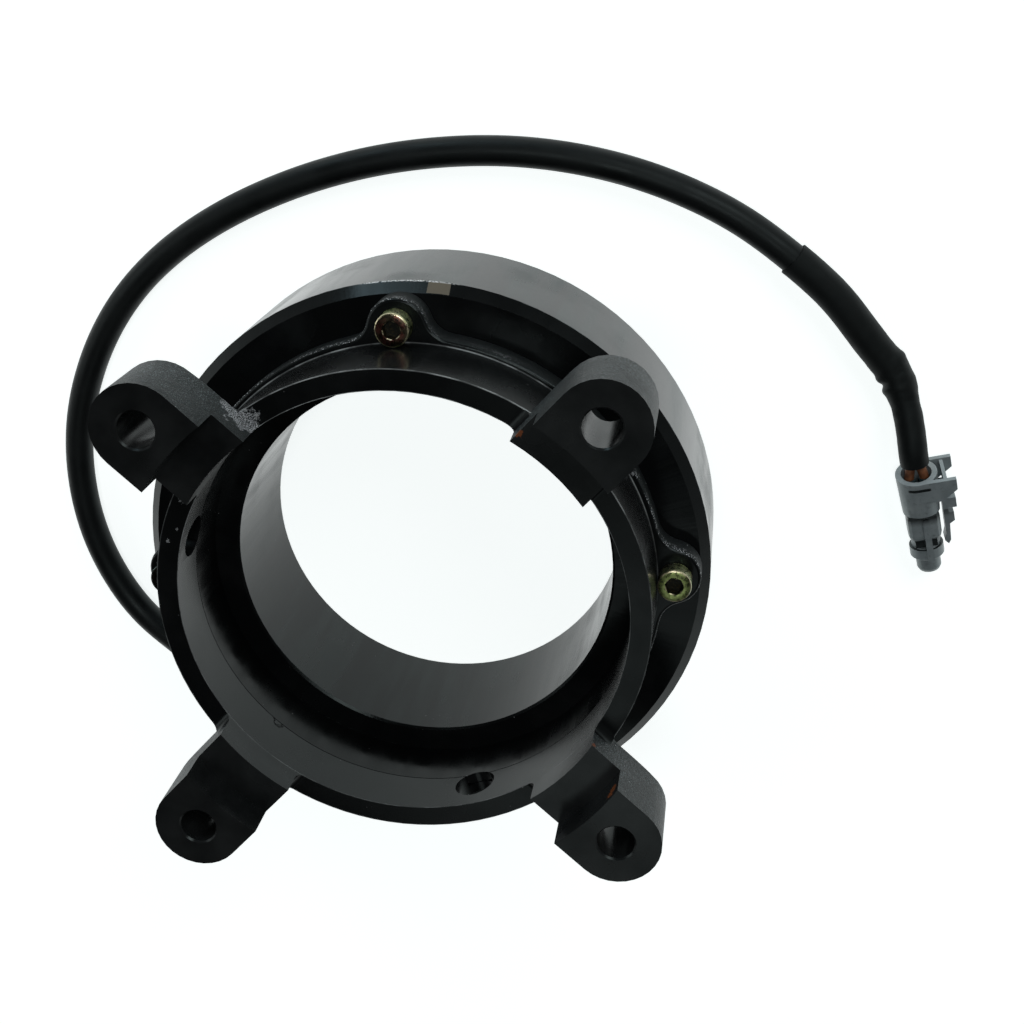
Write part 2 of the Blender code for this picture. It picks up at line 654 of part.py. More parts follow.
def make_coil_lead(side, name, material):
    # From the splice through the grommet's neck, then round the winding under the housing's wall
    height = side * COIL_LEAD_SPREAD
    start = -(CABLE_END_OFFSET - SEAT_GAP - SPLICE_LENGTH - SEAT_GAP)
    turn = COIL_LEAD_TURN
    knots = [
        (cable_standoff, start, height), (cable_standoff - turn / 10, start + turn * 2 / 3, height),
        (cable_standoff - turn, start / 4, height), (HOUSING_RADIUS, 0.0, height),
        (SLOT_OUTER_RADIUS + turn, 0.0, height),
    ]
    for angle in np.linspace(turn / coil_lead_radius, COIL_LEAD_SWEEP, 5):
        knots.append((coil_lead_radius * math.cos(angle), coil_lead_radius * math.sin(angle), height))
    points = even_points(spline_through(knots), 5 * COIL_LEAD_RADIUS)
    return finish_piece(moved(tube(name, points, COIL_LEAD_RADIUS), lead_frame), name, material)


def make_splice(side, name, material):
    end = -(CABLE_END_OFFSET - SEAT_GAP)
    splice = rod(name, SPLICE_RADIUS, end, end + SPLICE_LENGTH, SMALL_FACETS)
    place = Matrix.Translation((cable_standoff, 0.0, side * COIL_LEAD_SPREAD)) @ y_from_z
    return finish_piece(moved(splice, lead_frame @ place), name, material)


def lead_line():
    # The whole run from the cable's end in the grommet to the plug's mouth
    start = [lead_frame @ Vector((cable_standoff, -offset, 0.0))
             for offset in (CABLE_END_OFFSET, GROMMET_TAIL_LENGTH)]
    end = [plug_frame @ Vector((-offset, 0.0, 0.0)) for offset in (LAST_ROUTE_OFFSET, SEAT_GAP)]
    return spline_through([tuple(point) for point in start] + CABLE_ROUTE
                          + [tuple(point) for point in end])


def lead_stretches():
    line = lead_line()
    sleeve_at = nearest_index(line, SLEEVE_START_POINT)
    sheath_end_at = nearest_index(line, SHEATH_END_POINT)
    free = even_points(line[:sleeve_at + 1], POINT_SPACING)
    covered = even_points(line[sleeve_at:sheath_end_at + 1], POINT_SPACING / 2)
    neck = even_points(line[sheath_end_at:], POINT_SPACING / 4)
    return free, covered, neck


def make_cable(material):
    free, covered, _ = lead_stretches()
    points = np.vstack([free, covered[1:]])
    return finish_piece(tube("lead_cable", points, CABLE_RADIUS, 3), "lead_cable", material)


def make_sleeve(material):
    # Fits the cable, then narrows to the two wires past the end of the sheath
    _, covered, neck = lead_stretches()
    points = np.vstack([covered, neck[1:]])
    outer, inner = [], []
    for index in range(len(points)):
        past_sheath = index - (len(covered) - 1)
        wide = past_sheath <= 1
        outer.append(SLEEVE_RADIUS if wide else SLEEVE_NECK_RADIUS)
        inner.append(CABLE_RADIUS + SLEEVE_BORE_GAP if wide else SLEEVE_NECK_RADIUS - NECK_WALL)
    sleeve = tube("sleeve", points, SLEEVE_RADIUS, 3, outer)
    first = points[0] + (points[0] - points[1])
    last = points[-1] + (points[-1] - points[-2])
    hollow = tube("hollow", np.vstack([first, points, last]), SLEEVE_RADIUS, 3,
                  [inner[0]] + inner + [inner[-1]])
    return finish_piece(cut(sleeve, hollow), "cable_sleeve", material)


def make_connector_wire(side, name, material):
    # Side by side in the sleeve, then spread to the two cavities of the plug
    _, _, neck = lead_stretches()
    spread = WIRE_RADIUS + SEAT_GAP / 2
    points = []
    for index, point in enumerate(neck):
        ahead = neck[min(index + 1, len(neck) - 1)] - neck[max(index - 1, 0)]
        across = np.array([-ahead[1], ahead[0], 0.0]) / math.hypot(ahead[0], ahead[1])
        points.append(point + across * side * spread)
    along = (neck[1] - neck[0]) / np.linalg.norm(neck[1] - neck[0])
    points[0] = points[0] + along * SHEATH_END_GAP
    for offset in (SEAL_START, SEAL_START + SEAL_LENGTH, WIRE_END):
        points.append(np.array(plug_frame @ Vector((offset, side * CAVITY_OFFSET, 0.0))))
    return finish_piece(tube(name, points, WIRE_RADIUS), name, material)


def latch_outline():
    # Seen from above the plug: a bar hinged at the collar, two blocks on its back, a hooked end
    inner = PLUG_BODY_WIDTH / 2 + LATCH_GAP
    outer = inner + LATCH_THICKNESS
    root_end = LATCH_ROOT_START + LATCH_ROOT_LENGTH
    tip = PLUG_BODY_END + LATCH_OVERHANG
    thumb_end = THUMB_BLOCK_START + THUMB_BLOCK_LENGTH
    stop_start = thumb_end + STOP_BLOCK_GAP
    stop_end = stop_start + STOP_BLOCK_LENGTH
    return [
        (LATCH_ROOT_START, inner - LATCH_ROOT_DEPTH), (root_end, inner - LATCH_ROOT_DEPTH),
        (root_end, inner), (tip - LATCH_HOOK_LENGTH, inner), (tip, inner - LATCH_GAP / 2),
        (tip + LATCH_GAP, inner + LATCH_THICKNESS / 4), (tip, outer - LATCH_GAP / 4),
        (tip - LATCH_TAPER_LENGTH, outer), (stop_end, outer + STOP_BLOCK_RISE),
        (stop_start, outer + STOP_BLOCK_RISE), (stop_start, outer), (thumb_end, outer),
        (thumb_end, outer + THUMB_BLOCK_RISE), (THUMB_BLOCK_START, outer + THUMB_BLOCK_RISE),
        (THUMB_BLOCK_START, outer), (LATCH_ROOT_START, outer),
    ]


def ear_outline():
    end = EAR_PLATE_START + EAR_PLATE_LENGTH
    return [
        (EAR_PLATE_START, 0.0), (end - LATCH_GAP / 2, 0.0),
        (end, PLUG_BODY_WIDTH / 2 + LATCH_GAP),
        (EAR_PLATE_START + EAR_PLATE_CREST, EAR_PLATE_REACH), (EAR_PLATE_START, EAR_PLATE_REACH),
    ]


def make_connector_housing(material):
    round_off = PLUG_NOSE_ROUND / 3
    shell = turned("shell", [
        (0.0, COLLAR_LENGTH), (COLLAR_RADIUS, COLLAR_LENGTH), (COLLAR_MOUTH_RADIUS, COLLAR_STEP),
        (COLLAR_MOUTH_RADIUS, 0.0), (0.0, 0.0)], HOLE_FACETS, closed=False)
    front = turned("front", [
        (0.0, PLUG_LENGTH), (PLUG_NOSE_RADIUS - PLUG_NOSE_ROUND, PLUG_LENGTH),
        (PLUG_NOSE_RADIUS - round_off, PLUG_LENGTH - round_off),
        (PLUG_NOSE_RADIUS, PLUG_LENGTH - PLUG_NOSE_ROUND), (PLUG_NOSE_RADIUS, PLUG_RING_END),
        (PLUG_RING_RADIUS - PLUG_RING_CHAMFER, PLUG_RING_END),
        (PLUG_RING_RADIUS, PLUG_RING_END - PLUG_RING_CHAMFER),
        (PLUG_RING_RADIUS, PLUG_RING_START),
        (PLUG_RING_RADIUS - PLUG_RING_GROOVE, PLUG_RING_START),
        (PLUG_RING_RADIUS - PLUG_RING_GROOVE, COLLAR_LENGTH - 2 * PLUG_PART_OVERLAP),
        (0.0, COLLAR_LENGTH - 2 * PLUG_PART_OVERLAP)], HOLE_FACETS, closed=False)
    half = PLUG_BODY_WIDTH / 2
    body = box("body", (COLLAR_LENGTH - PLUG_PART_OVERLAP, -half, -half),
               (PLUG_BODY_END, half, half), PLUG_BODY_CORNER)
    rib_start = PLUG_BODY_END - RIB_SETBACK
    rib = box("rib", (rib_start, RIB_OFFSET - RIB_WIDTH / 2, 0.0),
              (rib_start + RIB_LENGTH, RIB_OFFSET + RIB_WIDTH / 2, half + RIB_HEIGHT / 2))
    front = moved(front, x_from_z)
    recess_floor = CAVITY_RADIUS + PLUG_RECESS_WALL
    for side in (-1, 1):
        recess = box("recess", (PLUG_BODY_END - PLUG_PART_OVERLAP, -half, recess_floor),
                     (PLUG_RING_START - FLOOR_GAP, half, PLUG_BODY_WIDTH))
        front = cut(front, moved(recess, Matrix.Rotation(math.pi * (side < 0), 4, "X")))
    plug = join(moved(shell, x_from_z), front, body, rib)
    for side in (-1, 1):
        middle = side * EAR_PLATE_OFFSET
        ear = plate("ear", ear_outline(), middle - EAR_PLATE_THICKNESS / 2,
                    middle + EAR_PLATE_THICKNESS / 2)
        plug = join(plug, moved(ear, Matrix.Translation((math.tan(MOUTH_SLANT) * middle, 0, 0))))
    hood_start = EAR_PLATE_START + SEAT_GAP
    hood = box("hood", (hood_start, HOOD_REACH - HOOD_WALL, -EAR_PLATE_OFFSET),
               (hood_start + HOOD_LENGTH, HOOD_REACH, EAR_PLATE_OFFSET))
    latch = plate("latch", latch_outline(), -LATCH_WIDTH / 2, LATCH_WIDTH / 2)
    plug = join(plug, hood, latch)
    pocket = rod("pocket", POCKET_RADIUS, -POCKET_DEPTH, POCKET_DEPTH, HOLE_FACETS)
    slit = box("slit", (COLLAR_SLIT_START, -COLLAR_SLIT_REACH, POCKET_RADIUS + COLLAR_SLIT_FLOOR),
               (COLLAR_SLIT_START + COLLAR_SLIT_WIDTH, COLLAR_SLIT_REACH, 2 * COLLAR_MOUTH_RADIUS))
    # The mouth is cut at a slant, its upper lip set back
    reach = 2 * EAR_PLATE_REACH
    trim = box("trim", (-reach, -reach, -reach), (0.0, reach, 2 * reach))
    slant = (Matrix.Translation((MOUTH_TRIM, 0.0, -COLLAR_MOUTH_RADIUS))
             @ Matrix.Rotation(MOUTH_SLANT, 4, "Y"))
    plug = cut(plug, moved(pocket, x_from_z), slit, moved(trim, slant))
    for side in (-1, 1):
        place = Matrix.Translation((0.0, side * CAVITY_OFFSET, 0.0)) @ x_from_z
        cavity = rod("cavity", CAVITY_RADIUS, 0.0, CAVITY_END, SMALL_FACETS)
        pin_hole = rod("pin_hole", PIN_HOLE_RADIUS, COLLAR_LENGTH, 2 * PLUG_LENGTH, SMALL_FACETS)
        plug = cut(plug, moved(cavity, place), moved(pin_hole, place))
    return finish_piece(moved(plug, plug_frame), "connector_housing", material)


def make_wire_seal(side, name, material):
    bore = WIRE_RADIUS + SEAT_GAP / 2
    high = SEAL_START + SEAL_LENGTH
    lip = (SEAL_RADIUS - bore) / 2
    seal = turned(name, [
        (SEAL_RADIUS - lip, high), (SEAL_RADIUS, high - SEAL_LENGTH / 4),
        (SEAL_RADIUS - lip, high - SEAL_LENGTH / 2), (SEAL_RADIUS, SEAL_START + SEAL_LENGTH / 4),
        (SEAL_RADIUS - lip, SEAL_START), (bore, SEAL_START), (bore, high)], SMALL_FACETS)
    place = plug_frame @ Matrix.Translation((0.0, side * CAVITY_OFFSET, 0.0)) @ x_from_z
    return finish_piece(moved(seal, place), name, material)


def make_terminal(side, name, material):
    half = (CAVITY_RADIUS - SEAT_GAP) / math.sqrt(2.0)
    start = WIRE_END + SEAT_GAP
    contact = box("contact", (start + CRIMP_LENGTH, -half, -half), (TERMINAL_END, half, half))
    crimp = rod("crimp", half - SEAT_GAP / 3, start, start + 2 * CRIMP_LENGTH, SMALL_FACETS)
    socket = rod("socket", SOCKET_RADIUS, TERMINAL_END - SOCKET_LENGTH, 2 * TERMINAL_END, SMALL_FACETS)
    terminal = cut(join(contact, moved(crimp, x_from_z)), moved(socket, x_from_z))
    place = plug_frame @ Matrix.Translation((0.0, side * CAVITY_OFFSET, 0.0))
    return finish_piece(moved(terminal, place), name, material)


def build():
    clear_scene()
    paint = make_material("black_paint", (0.012, 0.013, 0.014), 0.25)
    plating = make_material("yellow_zinc", (0.55, 0.47, 0.20), 0.30, 1.0)
    nylon = make_material("natural_nylon", (0.62, 0.58, 0.48), 0.50)
    copper = make_material("enamelled_copper", (0.55, 0.20, 0.08), 0.30, 1.0)
    cloth_tape = make_material("cloth_tape", (0.30, 0.26, 0.18), 0.80)
    resin = make_material("potting_resin", (0.02, 0.02, 0.02), 0.45)
    crimp_sleeve = make_material("crimp_sleeve", (0.60, 0.10, 0.06), 0.45)
    rubber = make_material("black_rubber", (0.018, 0.018, 0.019), 0.60)
    jacket = make_material("cable_jacket", (0.016, 0.017, 0.018), 0.42)
    shrink = make_material("shrink_sleeve", (0.018, 0.018, 0.018), 0.50)
    brown = make_material("brown_insulation", (0.20, 0.09, 0.045), 0.45)
    grey = make_material("grey_plastic", (0.17, 0.18, 0.19), 0.42)
    seal_rubber = make_material("seal_rubber", (0.10, 0.25, 0.30), 0.55)
    tin = make_material("tinned_brass", (0.70, 0.68, 0.62), 0.30, 1.0)

    pieces = [make_coil_housing(paint), make_mounting_bracket(paint)]
    pieces += [make_cap_screw(index, plating) for index in range(SCREW_COUNT)]
    pieces.append(make_bobbin(nylon))
    pieces.append(ring("coil_winding", winding_bore, winding_outer, winding_bottom, winding_top, copper))
    pieces.append(ring("winding_tape", tape_bore, tape_outer, winding_bottom, winding_top, cloth_tape))
    pieces.append(ring("potting_ring", bobbin_bore, bobbin_rim, POTTING_RECESS, potting_top, resin))
    pieces.append(make_grommet(rubber))
    pieces.append(make_cable(jacket))
    pieces.append(make_sleeve(shrink))
    pieces.append(make_connector_housing(grey))
    for number, side in ((1, -1), (2, 1)):
        pieces.append(make_coil_lead(side, f"coil_lead_{number}", copper))
        pieces.append(make_splice(side, f"splice_sleeve_{number}", crimp_sleeve))
        pieces.append(make_connector_wire(side, f"connector_wire_{number}", brown))
        pieces.append(make_wire_seal(side, f"wire_seal_{number}", seal_rubber))
        pieces.append(make_terminal(side, f"terminal_{number}", tin))

    group = bpy.data.collections.new("clutch_field_coil")
    bpy.context.scene.collection.children.link(group)
    for piece in pieces:
        bpy.context.scene.collection.objects.unlink(piece)
        group.objects.link(piece)


build()
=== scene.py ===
# Looks of the clutch field coil: black painted ring and bracket, plated screws, cable and plug.
# Metres throughout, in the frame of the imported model.

import math

import bmesh
import bpy
import numpy as np
from mathutils import Matrix, Vector, noise


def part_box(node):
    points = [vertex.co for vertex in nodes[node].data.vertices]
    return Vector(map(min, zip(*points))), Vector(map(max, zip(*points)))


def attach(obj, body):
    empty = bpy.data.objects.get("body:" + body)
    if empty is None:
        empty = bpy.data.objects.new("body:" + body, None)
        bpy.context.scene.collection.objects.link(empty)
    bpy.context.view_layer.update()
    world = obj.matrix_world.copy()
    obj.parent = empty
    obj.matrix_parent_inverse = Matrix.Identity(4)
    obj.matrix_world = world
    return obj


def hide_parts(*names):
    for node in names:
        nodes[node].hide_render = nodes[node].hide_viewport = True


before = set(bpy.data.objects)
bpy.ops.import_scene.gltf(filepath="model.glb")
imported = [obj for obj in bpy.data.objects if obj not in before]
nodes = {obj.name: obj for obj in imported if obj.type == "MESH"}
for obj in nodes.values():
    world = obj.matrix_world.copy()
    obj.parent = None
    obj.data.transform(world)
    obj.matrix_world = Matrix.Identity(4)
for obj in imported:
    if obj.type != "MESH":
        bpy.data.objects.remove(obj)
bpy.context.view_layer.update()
scene = bpy.context.scene
print("frame read,", len(nodes), "nodes")

shot = {
    "place": (0.09714, 0.18280, 0.44824),
    "aim": (0.02789, 0.01518, 0.04000),
    "pictureTop": (-0.00529, 0.92536, -0.37905),
    "lens": 51.51,          # millimetres, on a 36 mm sensor
    "sensor": 36.0,
    "pictureSize": 1024,
}


def linked(name, data):
    made = bpy.data.objects.new(name, data)
    scene.collection.objects.link(made)
    return made


def makeCamera():
    camera = linked("camera", bpy.data.cameras.new("camera"))
    camera.data.lens = shot["lens"]
    camera.data.sensor_width = shot["sensor"]
    camera.data.clip_start = 0.01
    ahead = (Vector(shot["aim"]) - Vector(shot["place"])).normalized()
    side = ahead.cross(Vector(shot["pictureTop"])).normalized()
    top = side.cross(ahead)
    turn = Matrix((side, top, -ahead)).transposed().to_4x4()
    camera.matrix_world = Matrix.Translation(shot["place"]) @ turn
    scene.camera = camera
    print("camera")


def pointUnder(pixel):
    # the place on the solids that a pixel of the photograph shows
    bpy.context.view_layer.update()
    graph = bpy.context.evaluated_depsgraph_get()
    half = shot["pictureSize"] / 2
    perPixel = shot["sensor"] / shot["lens"] / shot["pictureSize"]
    look = Vector(((pixel[0] - half) * perPixel, (half - pixel[1]) * perPixel, -1.0))
    turn = scene.camera.matrix_world
    found = scene.ray_cast(graph, turn.translation, (turn.to_3x3() @ look).normalized())
    return found[1]


# mesh helpers

def linkPiece(name, mesh, *materials):
    piece = linked(name, mesh)
    mesh.materials.clear()
    for material in materials:
        mesh.materials.append(material)
    return piece


def placePiece(piece, slot, *replaced):
    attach(piece, "root")
    if replaced:
        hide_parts(*replaced)
    return piece


def smoothShading(piece, angle=35.0):
    piece.data.shade_smooth()
    piece.data.set_sharp_from_angle(angle=math.radians(angle))


def flatFacesFlat(piece):
    # all edges smooth, with the large faces ruling the shading at their rounded edges
    piece.data.shade_smooth()
    weighted = piece.modifiers.new("shading", "WEIGHTED_NORMAL")
    weighted.mode = "FACE_AREA"
    weighted.weight = 50
    applyAll(piece)


def finishPiece(work, name, material, slot, node):
    piece = linkPiece(name, meshFrom(work, name), material)
    flatFacesFlat(piece)
    print(name, len(piece.data.polygons), "faces")
    return placePiece(piece, slot, node)


def meshFrom(work, name):
    mesh = bpy.data.meshes.new(name)
    work.to_mesh(mesh)
    work.free()
    return mesh


def spunShape(profile, steps, closed=True):
    # a profile of (radius, height) points, turned about Z
    work = bmesh.new()
    points = [work.verts.new((radius, 0.0, height)) for radius, height in profile]
    for first, second in zip(points, points[1:] + points[:1] if closed else points[1:]):
        work.edges.new((first, second))
    bmesh.ops.spin(work, geom=work.verts[:] + work.edges[:], cent=(0, 0, 0), axis=(0, 0, 1),
                   angle=2 * math.pi, steps=steps, use_merge=True)
    bmesh.ops.remove_doubles(work, verts=work.verts, dist=1e-6)
    bmesh.ops.recalc_face_normals(work, faces=work.faces)
    return work


def roundEdges(work, width, segments, angle=30.0, wanted=None):
    # rounds the sharp edges and gives back the new faces
    sharp = [edge for edge in work.edges
             if len(edge.link_faces) == 2 and edge.calc_face_angle(0.0) > math.radians(angle)
             and (wanted is None or wanted(edge))]
    return bmesh.ops.bevel(work, geom=sharp, offset=width, offset_type="OFFSET",
                           segments=segments, profile=0.5, affect="EDGES", clamp_overlap=True,
                           material=-1)["faces"]


def rodMesh(radius, low, high, place, steps=48, tip=None):
    # a straight or tapered rod along Z, put in its place
    work = bmesh.new()
    bmesh.ops.create_cone(work, cap_ends=True, segments=steps, radius1=radius,
                          radius2=radius if tip is None else tip, depth=high - low)
    bmesh.ops.translate(work, vec=(0, 0, (high + low) / 2), verts=work.verts)
    bmesh.ops.transform(work, matrix=place, verts=work.verts)
    return meshFrom(work, "rod")


def drill(piece, cutters):
    # takes the holes out of the piece and leaves a plain mesh
    for mesh in cutters:
        cutter = linked("cutter", mesh)
        step = piece.modifiers.new("drill", "BOOLEAN")
        step.object = cutter
        step.solver = "EXACT"
        applyAll(piece)
        bpy.data.objects.remove(cutter, do_unlink=True)


def asMesh(piece):
    # its form with its modifiers, or a curve's as faces
    bpy.context.view_layer.update()
    graph = bpy.context.evaluated_depsgraph_get()
    return bpy.data.meshes.new_from_object(piece.evaluated_get(graph))


def applyAll(piece):
    mesh = asMesh(piece)
    piece.modifiers.clear()
    piece.data = mesh


def copyOfNode(node):
    # a CAD solid's mesh with its loose triangles merged and its flat faces made whole
    work = bmesh.new()
    work.from_mesh(nodes[node].data)
    bmesh.ops.remove_doubles(work, verts=work.verts, dist=2e-6)
    bmesh.ops.dissolve_limit(work, angle_limit=math.radians(0.4), verts=work.verts,
                             edges=work.edges)
    return work


def tubeCurve(name, points, radius, sides=6, radii=None, capped=True):
    curve = bpy.data.curves.new(name, "CURVE")
    curve.dimensions = "3D"
    curve.bevel_depth = radius
    curve.bevel_resolution = sides
    curve.use_fill_caps = capped
    spline = curve.splines.new("POLY")
    spline.points.add(len(points) - 1)
    for index, point in enumerate(points):
        spline.points[index].co = (*point, 1.0)
        spline.points[index].radius = radii[index] / radius if radii is not None else 1.0
    return curve


def tubeMesh(name, points, radius, sides=6, radii=None, capped=True):
    # the same tube as a mesh, its caps welded
    maker = linked(name, tubeCurve(name, points, radius, sides, radii, capped))
    mesh = asMesh(maker)
    bpy.data.objects.remove(maker, do_unlink=True)
    work = bmesh.new()
    work.from_mesh(mesh)
    bmesh.ops.remove_doubles(work, verts=work.verts, dist=1e-7)
    bmesh.ops.recalc_face_normals(work, faces=work.faces)
    return meshFrom(work, name)


# finishes, all with patterns on Object coordinates

class Finish:
    def __init__(self, name, colour, roughness, metallic=0.0):
        self.material = bpy.data.materials.new(name)
        self.material.use_nodes = True
        self.tree = self.material.node_tree
        self.shader = self.tree.nodes["Principled BSDF"]
        self.shade("Base Color", colour)
        self.shade("Roughness", roughness)
        self.shade("Metallic", metallic)
        self.shade("Specular Tint", paint["tint"])
        self.place = self.add("ShaderNodeTexCoord").outputs["Object"]
        self.normal = None

    def add(self, kind, **settings):
        made = self.tree.nodes.new(kind)
        for key, value in settings.items():
            setattr(made, key, value)
        return made

    def feed(self, socket, value):
        if isinstance(value, bpy.types.NodeSocket):
            self.tree.links.new(value, socket)
        elif isinstance(value, tuple) and len(value) < len(socket.default_value):
            socket.default_value = (*value, 1.0)
        else:
            socket.default_value = value

    def shade(self, name, value):
        self.feed(self.shader.inputs[name], value)

    def grain(self, scale, detail=3.0, place=None):
        made = self.add("ShaderNodeTexNoise")
        self.feed(made.inputs["Vector"], place or self.place)
        made.inputs["Scale"].default_value = scale
        made.inputs["Detail"].default_value = detail
        return made.outputs[0]

    def maths(self, operation, first, second=0.5):
        made = self.add("ShaderNodeMath", operation=operation)
        self.feed(made.inputs[0], first)
        self.feed(made.inputs[1], second)
        return made.outputs[0]

    def times(self, first, *others):
        for value in others:
            first = self.maths("MULTIPLY", first, value)
        return first

    def fromBore(self):
        # distance from the bore's axis
        return self.vector("LENGTH", self.vector("MULTIPLY", self.place, (1.0, 1.0, 0.0)))

    def vector(self, operation, first, second=(0.0, 0.0, 0.0)):
        made = self.add("ShaderNodeVectorMath", operation=operation)
        self.feed(made.inputs[0], first)
        self.feed(made.inputs[1], second)
        single = operation in ("DISTANCE", "LENGTH", "DOT_PRODUCT")
        return made.outputs["Value" if single else "Vector"]

    def ranged(self, value, low, high, start=0.0, end=1.0):
        made = self.add("ShaderNodeMapRange", clamp=True)
        for socket, given in zip(made.inputs[:5], (value, low, high, start, end)):
            self.feed(socket, given)
        return made.outputs[0]

    def cloud(self, scale, detail, low, high, start=0.0, end=1.0):
        return self.ranged(self.grain(scale, detail), low, high, start, end)

    def mix(self, factor, first, second):
        made = self.add("ShaderNodeMix", data_type="RGBA")
        self.feed(made.inputs[0], factor)
        self.feed(made.inputs[6], first)
        self.feed(made.inputs[7], second)
        return made.outputs[2]

    def bump(self, height, distance):
        made = self.add("ShaderNodeBump")
        made.inputs["Distance"].default_value = distance
        self.feed(made.inputs["Height"], height)
        if self.normal:
            self.feed(made.inputs["Normal"], self.normal)
        self.normal = made.outputs["Normal"]
        self.shade("Normal", self.normal)

    def roundAxis(self, along):
        # coordinates that change round the bore's axis and hardly along it, for upright streaks
        outward = self.vector("NORMALIZE", self.vector("MULTIPLY", self.place, (1.0, 1.0, 0.0)))
        return self.vector("ADD", outward, self.vector("MULTIPLY", self.place, (0.0, 0.0, along)))

    def specks(self, scale, size, share):
        # small dots, one in some of the cells
        cells = self.add("ShaderNodeTexVoronoi")
        self.feed(cells.inputs["Vector"], self.place)
        cells.inputs["Scale"].default_value = scale
        near = self.maths("LESS_THAN", cells.outputs["Distance"], size)
        chosen = self.maths("GREATER_THAN", cells.outputs["Color"], 1 - share)
        return self.times(near, chosen)

    def circleLine(self, radius, height, width):
        # 1 on a circle round the bore's axis, fading to 0 at the width
        sideways = self.maths("SUBTRACT", self.fromBore(), radius)
        upward = self.maths("SUBTRACT", self.part(2), height)
        squares = self.maths("ADD", self.times(sideways, sideways), self.times(upward, upward))
        away = self.maths("SQRT", squares)
        return self.ranged(away, width, width * 0.5)

    def painted(self, name):
        return self.add("ShaderNodeAttribute", attribute_name=name).outputs["Fac"]

    def spot(self, centre, radius, ragged=0.4):
        # 1 inside a ragged round patch, 0 outside it
        away = self.vector("DISTANCE", self.place, tuple(centre))
        reach = ragged * radius
        edge = self.cloud(1.5 / radius, 3.0, 0.3, 0.7, -reach, reach)
        return self.ranged(self.maths("ADD", away, edge), radius, radius * 0.7)

    def part(self, axis):
        split = self.add("ShaderNodeSeparateXYZ")
        self.feed(split.inputs[0], self.place)
        return split.outputs[axis]


paint = {
    "colour": (0.0030, 0.0034, 0.0036),
    "castColour": (0.0120, 0.0138, 0.0144),
    "padColour": (0.0150, 0.0165, 0.0168),
    "streakColour": (0.022, 0.032, 0.031),
    "dust": (0.22, 0.23, 0.235),
    "rust": (0.15, 0.048, 0.018),
    # painted highlight for the thin light lines along the edges
    "edgeHighlight": (0.36, 0.39, 0.39),
    "primer": (0.132, 0.116, 0.088),
    "bareEdge": (0.70, 0.72, 0.72),
    "scuff": (0.30, 0.32, 0.33),
    "tint": (0.84, 1.0, 0.99),       # of what the gloss throws back
    "gloss": 0.16,
    "bracketGloss": 0.25,
    "castGloss": 0.48,
    "ior": 1.31,
    "castSpeck": (0.095, 0.116, 0.120),
    # pale paint flakes, also the colour of the painted glints
    "flakes": (0.62, 0.65, 0.67),
    "streaksRound": 11.0,
    "orangePeel": 520.0,     # waves a metre
    "castGrain": 2300.0,
}

marks = {
    # where the photograph shows them, in its pixels, with their radius in metres
    "edgeWear": ((404, 281), 0.0155),
    "primerPatch": ((439, 287), 0.0033),
    "rust": [((519, 433), 0.0013), ((613, 789), 0.0017), ((610, 795), 0.0014),
             ((594, 745), 0.0008)],
    "scuffs": [((181, 501), 0.0007), ((168, 541), 0.0006), ((177, 529), 0.0004),
               ((633, 474), 0.0005), ((197, 494), 0.0005)],
    "roughPatch": [((229, 408), 0.0026), ((238, 416), 0.0036), ((247, 424), 0.0038),
                   ((254, 431), 0.0026)],
    "paintRun": ((278, 722), 0.0016),
}


paintedHighlightLines = [
    # painted highlight lines along the edges: radius, height, width
    (0.0726, 0.0533, 0.00032),
    (0.0726, 0.0787, 0.00036),
    (0.0663, 0.0787, 0.00022),
]


def coverWith(look, colour, masks, finish):
    for mask in masks:
        colour = look.mix(mask, colour, finish)
    return colour


ring = {
    "radius": 0.0880,
    "bore": 0.0586,
    "ior": 1.25,
    "chamferFoot": 0.0420,
    "chamferTop": 0.0450,
    "edgeRounding": 0.00030,
    "streaksAlong": (1.6, 2.0),     # coarse and fine, less is longer
    "streaksInBore": 0.35,
    "smudges": 38.0,
    "haze": 55.0,
    "dustCells": 430.0,
    "wornLine": 0.00042,
    "wornGrain": 1900.0,
    "patchReach": 0.0050,
}


